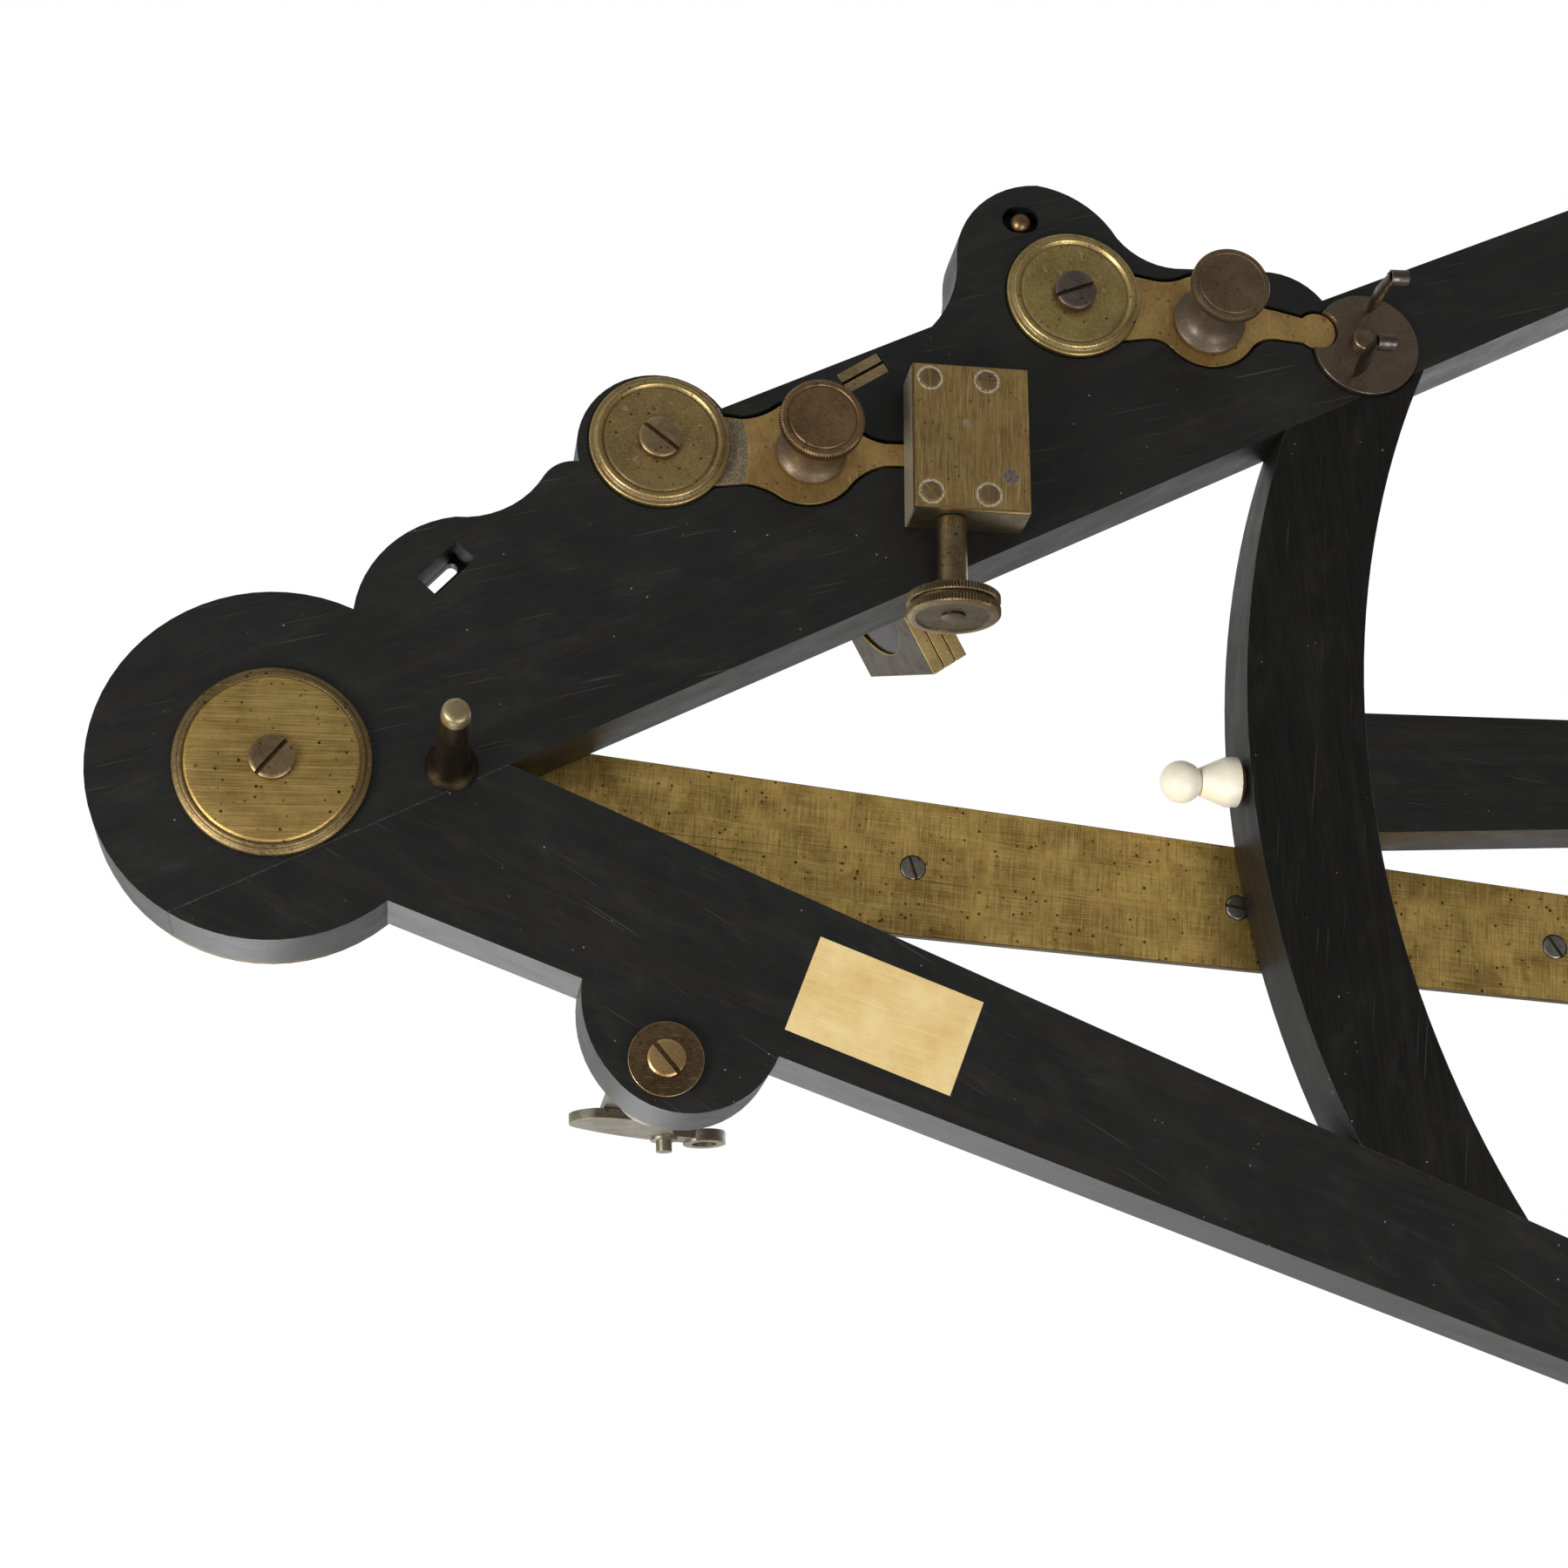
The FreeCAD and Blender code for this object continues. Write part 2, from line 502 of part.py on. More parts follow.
def index_arm():
    """Tapered brass blade with a round hub and a windowed end over the scale."""
    neck = size("arm_neck")
    wide = size("arm_end_half_width")
    hub = size("arm_hub_radius")
    start = size("arm_end_start")
    outer = size("arm_end")
    leave_x = 30.5
    leave_y = math.sqrt(hub ** 2 - leave_x ** 2)
    join = arm_width(60.0)
    outline = [(leave_x, -leave_y), bend((36.5, -join - 0.6), (60.0, -join)), to(neck, -arm_width(neck)),
               bend((start - 1.0, -0.66 * wide), (start, -wide)), to(math.sqrt(outer ** 2 - wide ** 2), -wide),
               bend((outer, 0.0), (math.sqrt(outer ** 2 - wide ** 2), wide)), to(start, wide),
               bend((start - 1.0, 0.66 * wide), (neck, arm_width(neck))), to(60.0, join),
               bend((36.5, join + 0.6), (leave_x, leave_y)), bend((-hub, 0.0), (leave_x, -leave_y))]
    low = "frame_thickness + arm_gap"
    high = "frame_thickness + arm_gap + arm_thickness"
    body = new_body("index_arm")
    pad(body, [outline], low, high)
    window = size("window_half_width")
    pocket(body, [box_path(size("window_inner"), size("window_outer"), -window, window)], low, high)
    pocket(body, [ring(0, 0, "arbor_radius + running_gap")], low, high)
    screws = [size("arm_screw_first") + number * size("arm_screw_pitch") for number in range(4)]
    pocket(body, [ring(x, 0, "arm_shank_radius + running_gap") for x in screws], low, high)
    pocket(body, [ring(x, 0, "arm_screw_radius + running_gap") for x in screws], low, low + " + 0.9")
    return put(body, "index_arm", turn=size("index_angle"))


def arm_fittings():
    low = "frame_thickness + arm_gap"
    high = "frame_thickness + arm_gap + arm_thickness"
    turn = size("index_angle")
    rib = block(("rib_start", "rib_end"), ("-rib_half_width", "rib_half_width"), (high, high + " + rib_height"))
    places = ["arm_screw_first + %d * arm_screw_pitch" % number for number in range(4)]
    holes = [rod("arm_shank_radius + running_gap", high, high + " + 2", (x, "0")) for x in places]
    put(less(rib, *holes), "arm_stiffener", turn=turn)
    screws = [joined(rod("arm_screw_radius", low, low + " + 0.85", (x, "0")),
                     rod("arm_shank_radius", low + " + 0.8", high + " + 1.9", (x, "0"))) for x in places]
    put(group(*screws), "arm_screws", turn=turn)
    put(rod("arbor_radius", "-0.1", high), "index_arbor", turn=turn)
    disc = joined(rod("apex_disc_radius", "-apex_disc_rise + 1.1", "-face_gap"),
                  rod("apex_disc_radius - 2.2", "-apex_disc_rise", "-apex_disc_rise + 1.1"))
    put(less(disc, rod("2", "-apex_disc_rise - 1", "1")), "apex_disc", turn=turn)
    slot = block(("-apex_screw_radius - 1", "apex_screw_radius + 1"), ("-0.5", "0.5"),
                 ("-apex_screw_rise - 1", "-apex_screw_rise + 0.9"))
    head = joined(rod("apex_screw_radius", "-apex_screw_rise", "-apex_disc_rise"),
                  rod("1.95", "-apex_disc_rise", "-0.12"))
    put(less(head, slot), "apex_screw", turn=-50.0)


def index_mirror():
    """Silvered glass in a brass frame, standing on the arm with its face on the pivot's axis."""
    turn = size("index_angle")
    base = "frame_thickness + arm_gap + arm_thickness"
    foot_top = base + " + mirror_base"
    half = "mirror_base_half"
    screws = [("-16", "13"), ("0", "15"), ("16", "13")]
    plate = block(("-mirror_base_half", half), ("-6", "18"), (base, foot_top))
    holes = [rod("1", base, foot_top, at) for at in screws]
    put(less(plate, *holes), "index_mirror_base", turn=turn)
    heads = [joined(rod("0.95", base, foot_top, at), rod("index_mirror_screw_radius", foot_top,
                                                         foot_top + " + 1", at)) for at in screws]
    put(group(*heads), "index_mirror_screws", turn=turn)
    mirror_case("index_mirror", half, "mirror_height", "mirror_depth", foot_top, "0", "0", turn)


def mirror_case(name, half, height, depth, level, across, up, turn):
    """A tray of brass open at the front, and the glass in it, standing on a level, face towards -y."""
    top = "(" + level + ") + " + height
    shell = block(("-" + half, half), ("0", depth + " + mirror_back"), (level, top))
    well = block(("-" + half + " + 1", half + " - 1"), ("0.6", depth), (level + " + 1", top + " - 1"))
    sight = block(("-" + half + " + mirror_rim", half + " - mirror_rim"), ("-1", "1"),
                  (level + " + mirror_rim", top + " - mirror_rim"))
    put(less(shell, well, sight), name + "_frame", across, up, turn)
    glass = block(("-" + half + " + 1.05", half + " - 1.05"), ("0.65", "0.65 + glass_depth"),
                  (level + " + 1.05", top + " - 1.05"))
    put(glass, name + "_glass", across, up, turn)


def vernier_scale():
    body = new_body("vernier_scale")
    half = size("vernier_half_width")
    low = "frame_thickness + free_gap"
    pad(body, [box_path(size("vernier_inner"), size("vernier_outer"), -half, half)], low, low + " + 1.6")
    return put(body, "vernier_scale", turn=size("index_angle"))


def arm_clamp():
    """Hook under the arc at the arm's end, and the thumb screw that grips the arc with it."""
    turn = size("index_angle")
    half = ("-clamp_half_width", "clamp_half_width")
    low = "-clamp_drop - clamp_plate"
    back = block(("arc_outer + 1.2", "arc_outer + 4.2"), half, (low, "frame_thickness + arm_gap"))
    tongue = block(("arc_outer - clamp_reach", "arc_outer + 1.2"), half, (low, "-clamp_drop"))
    hole = rod("clamp_stem_radius + running_gap", low + " - 1", "0", ("clamp_screw_at", "0"))
    put(less(joined(back, tongue), hole), "clamp_bracket", turn=turn)
    stem = rod("clamp_stem_radius", "-clamp_stem", "-free_gap")
    head = rod("clamp_head_radius", "-clamp_stem - clamp_head", "-clamp_stem")
    cosine = "clamp_screw_at * cos(index_angle)"
    put(joined(stem, head), "clamp_screw", cosine, "clamp_screw_at * sin(index_angle)")


def pivot_bush():
    sleeve = joined(rod("bush_radius", "0.3", "frame_thickness"),
                    rod("bush_flange_radius", "frame_thickness - bush_flange",
                        "frame_thickness + arm_gap - running_gap"))
    bore = rod("arbor_radius + running_gap", "-1", "frame_thickness + 2")
    put(less(sleeve, bore), "pivot_bush")


# ---- horizon mirrors and their levers -----------------------------------------------------------------------
def horizon_mirror(name, across, up, facing, slot_angle):
    """Disc and screw on the back, arbor through the limb, and a mirror on a block on the front."""
    turn = facing + 90.0
    disc = joined(rod("horizon_disc_radius", "-1.4", "lever_low"),
                  rod("horizon_disc_radius - 1.8", "-horizon_disc_rise", "-1.4"))
    put(less(disc, rod("2", "-horizon_disc_rise - 1", "1")), name + "_disc", across, up)
    slot = block(("-horizon_screw_radius - 1", "horizon_screw_radius + 1"), ("-0.5", "0.5"),
                 ("-horizon_screw_rise - 1", "-horizon_screw_rise + 0.8"))
    head = joined(rod("horizon_screw_radius", "-horizon_screw_rise", "-horizon_disc_rise"),
                  rod("1.95", "-horizon_disc_rise", "lever_low"))
    put(less(head, slot), name + "_disc_screw", across, up, slot_angle)
    base = "frame_thickness + face_gap"
    stage = base + " + horizon_base"
    stand = joined(rod("horizon_arbor_radius", "lever_low", base), rod("horizon_base_radius", base, stage),
                   block(("-horizon_half_width + 2", "horizon_half_width - 2"), ("-1", "7"),
                         (stage, stage + " + horizon_block")))
    put(stand, name + "_mirror_base", across, up, turn)
    mirror_case(name + "_mirror", "horizon_half_width", "horizon_height", "horizon_depth",
                stage + " + horizon_block", across, up, turn)


def lever(name, path, knob):
    body = new_body(name)
    pad(body, [path], "lever_low", "lever_low + lever_thick")
    pocket(body, [ring(size(knob[0]), size(knob[1]), "lever_hole_radius")], "0", "lever_low + lever_thick")
    return body


def levers():
    fore = lever("fore_lever", fore_lever_path(), ("fore_knob_across", "fore_knob_up"))
    put(fore, "fore_lever")
    back = lever("back_lever", back_lever_path(), ("back_knob_across", "back_knob_up"))
    put(back, "back_lever")
    nut = block(("tangent_offset - nut_half", "tangent_offset + nut_half"),
                ("nut_shift - nut_reach", "nut_shift + nut_reach"), ("-box_depth + 0.7", "lever_low"))
    bore = rod("tangent_radius + nut_gap", "-nut_half - 1", "nut_half + 1",
               ("tangent_offset", "tangent_height"), "y")
    put(less(nut, bore), "fore_nut", "box_across", "box_up", size("box_angle"))


def clamp_knob(side):
    """Clamp knob: threaded stem in the limb, collar flaring into a neck, and a flat head with a milled rim."""
    collar = side + "_collar_radius"
    neck = side + "_neck_radius"
    head = side + "_head_radius"
    end = "-" + side + "_end"
    under = end + " + " + side + "_head"
    knob = joined(rod("knob_stem_radius", "-1", "11.5"), rod(collar, "-knob_collar", "-face_gap"),
                  taper(neck, collar + " - 0.4", "-knob_flare", "-knob_collar"), rod(neck, under, "-knob_flare"),
                  rod(head, end + " + 0.5", under), rod(head + " - 0.6", end, end + " + 0.5"))
    put(knob, side + "_knob", side + "_knob_across", side + "_knob_up")


def worm_box():
    """Open box over the tail of the fore lever, its cover and the cover's four screws."""
    turn = size("box_angle")
    place = ("box_across", "box_up", turn)
    width = ("-box_half_width", "box_half_width")
    length = ("-box_half_length", "box_half_length")
    cavity = block(("-box_cavity_half_width", "box_cavity_half_width"),
                   ("-box_cavity_half_length", "box_cavity_half_length"), ("-box_depth - 1", "1"))
    axis = ("tangent_offset", "tangent_height")
    exit_hole = rod("tangent_radius + running_gap", "-box_half_length + 3", "box_half_length + 1", axis, "y")
    corners = [("-box_screw_across + %s * box_screw_spread" % side, "%s * box_screw_along" % end)
               for side in ("-1", "1") for end in ("-1", "1")]
    top = "-box_depth - cover_thick"
    holes = [rod("box_screw_shank + running_gap", "-box_depth - 1", "-3", at) for at in corners]
    put(less(block(width, length, ("-box_depth", "0")), cavity, exit_hole, *holes), "worm_box", *place)
    sinks = [rod("box_screw_radius + running_gap", top + " - 1", "-box_depth + 1", at) for at in corners]
    put(less(block(width, length, (top, "-box_depth")), *sinks), "worm_box_cover", *place)
    screws = [joined(rod("box_screw_radius", top, "-box_depth", at),
                     rod("box_screw_shank", "-box_depth", "-4", at)) for at in corners]
    put(group(*screws), "worm_box_screws", *place)


def tangent_screw():
    """Screw through the box and the lever's nut, with a milled head beyond the limb's edge."""
    axis = ("tangent_offset", "tangent_height")
    start = "-box_half_length + 3.3"
    stem = "tangent_stem_end"
    head_end = stem + " + tangent_head"
    screw = joined(rod("tangent_radius", start, "box_half_length + free_gap", axis, "y"),
                   rod("tangent_stem_radius", "box_half_length + free_gap", stem, axis, "y"),
                   rod("tangent_head_radius", stem, stem + " + 2.2", axis, "y"),
                   rod("tangent_head_radius - 0.8", stem + " + 2.2", stem + " + 2.8", axis, "y"),
                   rod("tangent_head_radius", stem + " + 2.8", head_end, axis, "y"))
    put(screw, "tangent_screw", "box_across", "box_up", size("box_angle"))


def winged_adjuster():
    """Disc let into the back of the limb, notched for the back lever's tip, with two upright wings."""
    dx = size("tip_across") - size("wing_across")
    dy = size("tip_up") - size("wing_up")
    body = new_body("winged_adjuster")
    pad(body, [ring(0, 0, "wing_disc_radius")], "-wing_disc_rise", "recess_depth - 0.2")
    mouth = turned_path(box_path(0.0, 9.0, -size("tip_radius") - 0.35, size("tip_radius") + 0.35),
                        math.degrees(math.atan2(dy, dx)), dx, dy)
    notch = rod("tip_radius + 0.35", "-5", "5", ("tip_across - wing_across", "tip_up - wing_up"))
    pocket(body, [mouth], "-wing_disc_rise", "recess_depth - 0.2")
    wings = []
    for end in ("upper", "lower"):
        x = end + "_wing_across"
        y = end + "_wing_up"
        wings.append(block((x + " - wing_half_thick", x + " + wing_half_thick"),
                           (y + " - wing_half_depth", y + " + wing_half_depth"), ("-wing_height", "0")))
        wings.append(rod("curl_radius", x, x + " + curl_length", (y, "-wing_height"), "x"))
    stud = joined(rod("wing_stud_radius", "0", "11.5"), rod("wing_hub_radius", "-wing_hub", "0"))
    put(joined(less(body, notch), stud, *wings), "winged_adjuster", "wing_across", "wing_up")


# ---- sights --------------------------------------------------------------------------------------------------
def sight_vane():
    """Upright plate with a pinhole on a round base, held from the back by a washer and a screw."""
    base = "frame_thickness"
    front = "vane_plate_front"
    low = size("frame_thickness") + size("vane_base")
    x = size("shutter_across")
    z = size("shutter_height")
    outline = [(-9.5, low), to(x + 3.5, low), to(x + 3.5, z), bend((x, z + 3.5), (x - 3.5, z)), to(x - 7.0, 49.5),
               to(-9.5, 49.5), to(-9.5, low)]
    plate = new_body("vane_plate")
    pad(plate, [outline], "-(" + front + " + vane_plate)", "-" + front, "XZ_Plane")
    stand = joined(rod("vane_stem_radius", "0.2", base), rod("vane_base_radius", base, base + " + vane_base"), plate)
    pinhole = rod("pinhole_radius", "-1", "9", ("pinhole_across", "pinhole_height"), "y")
    pivot = rod("1.05", "-1", "20", ("shutter_across", "shutter_height"), "y")
    put(less(stand, pivot, rod("1.5", "-1", "9"), pinhole), "sight_vane", "vane_across", "vane_up")
    washer = rod("vane_washer_radius", "-vane_washer", "0")
    put(less(washer, rod("1.6", "-5", "1")), "sight_vane_washer", "vane_across", "vane_up")
    slot = block(("-vane_screw_radius - 1", "vane_screw_radius + 1"), ("-0.4", "0.4"),
                 ("-vane_screw_rise - 1", "-vane_screw_rise + 0.8"))
    screw = joined(rod("vane_screw_radius", "-vane_screw_rise", "-vane_washer"), rod("1.45", "-vane_washer", "8"))
    put(less(screw, slot), "sight_vane_screw", "vane_across", "vane_up", 52.0)


def sight_shutter():
    """Swinging plate on the vane: a large oval that covers the pinhole, and a small pierced lobe opposite."""
    x = size("shutter_across")
    z = size("shutter_height")
    front = "vane_plate_front + vane_plate + 0.15"
    back = front + " + shutter_thick"
    oval = [(x + 1.8, z - 2.4), bend((x - 6.3, z - 18.0), (x - 16.0, z - 22.3)),
            bend((x - 20.3, z - 19.5), (x - 19.2, z - 11.5)), bend((x - 10.8, z - 3.8), (x - 1.8, z + 2.4)),
            bend((x + 2.1, z + 2.1), (x + 1.8, z - 2.4))]
    plate = new_body("shutter_plate")
    pad(plate, [oval], "-(" + back + ")", "-(" + front + ")", "XZ_Plane")
    at = ("shutter_across", "shutter_height")
    lobe_at = ("shutter_across + shutter_lobe_across", "shutter_height + shutter_lobe_height")
    neck = [(x + 1.0, z - 2.6), to(x + 9.0, z + 1.5), to(x + 7.0, z + 6.5), to(x - 1.0, z + 2.6),
            to(x + 1.0, z - 2.6)]
    arm = new_body("shutter_neck")
    pad(arm, [neck], "-(" + back + ")", "-(" + front + ")", "XZ_Plane")
    lobe = rod("shutter_lobe_radius", front, back + " + 0.6", lobe_at, "y")
    hole = rod("shutter_hole_radius", "0", "12", lobe_at, "y")
    pin = joined(rod("1", "vane_plate_front + 0.2", front, at, "y"), rod("2.9", front, back + " + 0.6", at, "y"),
                 rod("1.7", back + " + 0.6", back + " + 3", at, "y"))
    put(joined(less(joined(plate, arm, lobe), hole), pin), "sight_shutter", "vane_across", "vane_up")


def back_vane():
    """Small vane for the back sight, with its screw seen in a well on the back of the limb."""
    base = "frame_thickness"
    turn = size("back_vane_facing") - 90.0
    plate = block(("-back_vane_half_width", "back_vane_half_width"), ("-back_vane_thick / 2", "back_vane_thick / 2"),
                  (base + " + back_vane_base", base + " + back_vane_base + back_vane_height"))
    hole = rod("pinhole_radius", "-5", "5", ("0", base + " + back_vane_base + 24"), "y")
    stand = joined(rod("back_vane_radius", base, base + " + back_vane_base"), plate)
    put(less(stand, hole), "back_vane", "back_vane_across", "back_vane_up", turn)
    ball = document.addObject("Part::Sphere", "ball")
    bind(ball, "Radius", "back_vane_ball")
    bind(ball, "Placement.Base.z", "1.2")
    put(joined(ball, rod("back_vane_stem", "1.2", base)), "back_vane_screw", "back_vane_across", "back_vane_up")


# ---- coloured shades ----------------------------------------------------------------------------------------
def shade_bracket():
    """Split tang in the socket, a foot on the limb's front, and an arm that carries the shades' pin."""
    turn = size("sight_line_angle")
    tang_turn = size("socket_angle") - turn
    base = "frame_thickness + face_gap"
    length = "(socket_half_length - tang_gap)"
    tang = less(block(("-" + length, length), ("-tang_half_width", "tang_half_width"), ("0.1", base)),
                block(("-" + length + " - 1", length + " + 1"), ("-tang_split", "tang_split"), ("-1", "9")))
    tang.Placement = FreeCAD.Placement(FreeCAD.Vector(), FreeCAD.Rotation(FreeCAD.Vector(0, 0, 1), tang_turn))
    foot_plate = block(("-15.5", "5"), ("-6", "8"), (base, base + " + 3"))
    pin_at = ("shade_pin_inward", "shade_pin_height")
    start = "shade_first"
    cheeks = []
    for low, high in ((start + " - 2.7", start + " - 0.3"),
                      (start + " + 3 * shade_pitch", start + " + 3 * shade_pitch + 2.4")):
        post = block((low, high), ("3", "9"), (base + " + 3", "shade_pin_height + 3.4"))
        reach = block((low, high), ("9", "shade_pin_inward"), ("shade_pin_height - 2.6", "shade_pin_height + 3.4"))
        eye = rod("3.4", low, high, pin_at, "x")
        cheeks += [post, reach, eye]
    bore = rod("shade_pin_radius + running_gap", start + " - 5", start + " + 20", pin_at, "x")
    put(less(joined(tang, foot_plate, *cheeks), bore), "shade_bracket", "shade_socket_across",
        "shade_socket_up", turn)
    pin = joined(rod("shade_pin_radius", start + " - 3", start + " + 3 * shade_pitch + 2.4", pin_at, "x"),
                 rod("2.6", start + " - 4", start + " - 2.7", pin_at, "x"))
    put(pin, "shade_pin", "shade_socket_across", "shade_socket_up", turn)


def shades():
    """Three square brass frames with round coloured glasses, side by side on one pin and swung inwards."""
    turn = size("sight_line_angle")
    side = size("shade_side")
    pin = (size("shade_pin_inward"), size("shade_pin_height"))
    corner = (pin[0] + 4.0, pin[1] - 2.0)
    tilt = size("shade_tilt")
    frame_path = turned_path(box_path(0.0, side, 0.0, side), tilt, *corner)
    centre = turned_path([(side / 2, side / 2)], tilt, *corner)[0]
    ear = [(pin[0], pin[1] - 3.2), to(pin[0] + 9.0, pin[1] + 0.3), to(pin[0] + 3.0, pin[1] + 9.0),
           to(pin[0] - 3.0, pin[1] + 1.2), bend((pin[0] - 2.5, pin[1] - 2.0), (pin[0], pin[1] - 3.2))]
    for number in range(3):
        name = ("first", "second", "third")[number]
        low = "shade_first + %d * shade_pitch" % number
        high = low + " + shade_thick"
        plate = new_body("shade_plate")
        pad(plate, [frame_path], low, high, "YZ_Plane")
        pocket(plate, [ring(*centre, "shade_glass_radius")], low, high, "YZ_Plane")
        pocket(plate, [ring(*centre, "shade_glass_radius + 0.9")], low + " + 0.6", high + " - 0.6", "YZ_Plane")
        tab = new_body("shade_tab")
        pad(tab, [ear], low, high, "YZ_Plane")
        bore = rod("shade_pin_radius + running_gap", low + " - 1", high + " + 1",
                   ("shade_pin_inward", "shade_pin_height"), "x")
        put(less(joined(plate, tab), bore), "shade_frame_" + name, "shade_socket_across", "shade_socket_up", turn)
        glass = new_body("shade_disc")
        pad(glass, [ring(*centre, "shade_glass_radius + 0.85")], low + " + 0.65", high + " - 0.65", "YZ_Plane")
        put(glass, "shade_glass_" + name, "shade_socket_across", "shade_socket_up", turn)


# ---- pencil --------------------------------------------------------------------------------------------------
def pencil():
    """Pencil in the bore of the brace, with a turned ivory finial outside."""
    at = ("0", "pencil_height")
    start = "brace_near - 1.2"
    put(rod("pencil_radius", start, "brace_near + pencil_length", at, "x"), "pencil")
    tip = "brace_near - finial_length"
    ball = document.addObject("Part::Sphere", "ball")
    bind(ball, "Radius", "finial_ball")
    bind(ball, "Placement.Base.x", tip + " + finial_ball")
    bind(ball, "Placement.Base.z", "pencil_height")
    finial = joined(ball, rod("2.4", tip + " + 7", tip + " + 9.5", at, "x"),
                    taper("3", "finial_bell", tip + " + 8.4", tip + " + 14", at, "x"),
                    rod("finial_bell", tip + " + 14", start, at, "x"))
    put(finial, "pencil_finial")


def build():
    mirror_limb()
    sight_limb()
    cross_brace()
    centre_strut()
    arc_limb()
    arc_scale()
    note_plate()
    feet()
    pivot_bush()
    index_arm()
    arm_fittings()
    index_mirror()
    vernier_scale()
    arm_clamp()
    horizon_mirror("fore", "fore_across", "fore_up", size("fore_facing"), 40.0)
    horizon_mirror("back", "back_across", "back_up", size("back_facing"), -20.0)
    levers()
    clamp_knob("fore")
    clamp_knob("back")
    worm_box()
    tangent_screw()
    winged_adjuster()
    sight_vane()
    sight_shutter()
    back_vane()
    shade_bracket()
    shades()
    pencil()


def check_and_write():
    document.recompute()
    for thing in document.Objects:
        if "Invalid" in thing.State or "Error" in thing.State:
            raise RuntimeError("failed object: " + thing.Label)
    whole = FreeCAD.BoundBox()
    for label, thing in parts.items():
        if thing.Shape.isNull() or not thing.Shape.isValid():
            raise RuntimeError("bad shape: " + label)
        whole.add(thing.Shape.BoundBox)
        print("%-22s %2d solid %9.1f mm3" % (label, len(thing.Shape.Solids), thing.Shape.Volume))
    print("box X %.2f %.2f  Y %.2f %.2f  Z %.2f %.2f" % (whole.XMin, whole.XMax, whole.YMin, whole.YMax,
                                                         whole.ZMin, whole.ZMax))
    os.makedirs("parts", exist_ok=True)
    for label, thing in parts.items():
        thing.Shape.exportStep("parts/" + label + ".step")


build()
check_and_write()
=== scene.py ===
import math
import bpy
import bmesh
from mathutils import Matrix, Vector

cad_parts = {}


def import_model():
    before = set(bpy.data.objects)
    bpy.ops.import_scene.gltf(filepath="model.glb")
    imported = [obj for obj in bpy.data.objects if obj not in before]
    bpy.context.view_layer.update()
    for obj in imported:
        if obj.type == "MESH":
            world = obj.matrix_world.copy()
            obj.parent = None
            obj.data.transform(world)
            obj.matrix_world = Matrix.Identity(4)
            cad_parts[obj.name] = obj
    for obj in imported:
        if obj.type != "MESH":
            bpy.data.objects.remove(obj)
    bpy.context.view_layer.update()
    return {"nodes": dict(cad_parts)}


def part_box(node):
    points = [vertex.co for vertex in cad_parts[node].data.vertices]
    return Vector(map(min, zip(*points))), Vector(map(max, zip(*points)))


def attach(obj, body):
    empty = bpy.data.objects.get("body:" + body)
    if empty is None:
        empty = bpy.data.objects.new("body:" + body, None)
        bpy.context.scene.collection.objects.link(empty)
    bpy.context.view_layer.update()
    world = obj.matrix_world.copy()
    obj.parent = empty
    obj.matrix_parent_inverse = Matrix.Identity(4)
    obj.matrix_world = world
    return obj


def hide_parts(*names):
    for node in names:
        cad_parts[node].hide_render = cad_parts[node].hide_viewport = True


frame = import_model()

MM = 0.001
nodes = frame["nodes"]

# ---- places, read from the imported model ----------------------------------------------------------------
def middle(node):
    low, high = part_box(node)
    return (low + high) / 2


PIVOT = Vector((middle("pivot_bush").x, middle("pivot_bush").y, 0.0))
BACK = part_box("mirror_limb")[0].z


def plan(x, y, z=0.0):
    """A point given in millimetres from the pivot, z from the back face of the frame."""
    return Vector((PIVOT.x + x * MM, PIVOT.y + y * MM, BACK + z * MM))


def at(x, y):
    return tuple(plan(x, y))


def spot(node):
    """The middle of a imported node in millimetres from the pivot, to the tenth that the design uses."""
    return tuple(round(c / MM, 1) for c in (middle(node) - PIVOT).xy)


APEX = (0.0, 0.0)
FORE_DISC = spot("fore_disc")
BACK_DISC = spot("back_disc")
FORE_KNOB = spot("fore_knob")
BACK_KNOB = spot("back_knob")
VANE_SCREW_SPOT = spot("sight_vane_screw")
WING = spot("winged_adjuster")
APEX_FOOT = spot("foot_apex")
BOX = spot("worm_box")
BOX_TURN = 2.4
ARM_ANGLE = 7.0


def polar(radius, degrees):
    """A point of the plan at a distance and a heading from the pivot."""
    heading = math.radians(degrees)
    return (radius * math.cos(heading), radius * math.sin(heading))


def box_point(x, y):
    """A point in the worm box's own axes, in millimetres, as a point of the plan."""
    c, n = math.cos(math.radians(BOX_TURN)), math.sin(math.radians(BOX_TURN))
    return (BOX[0] + c * x - n * y, BOX[1] + n * x + c * y)


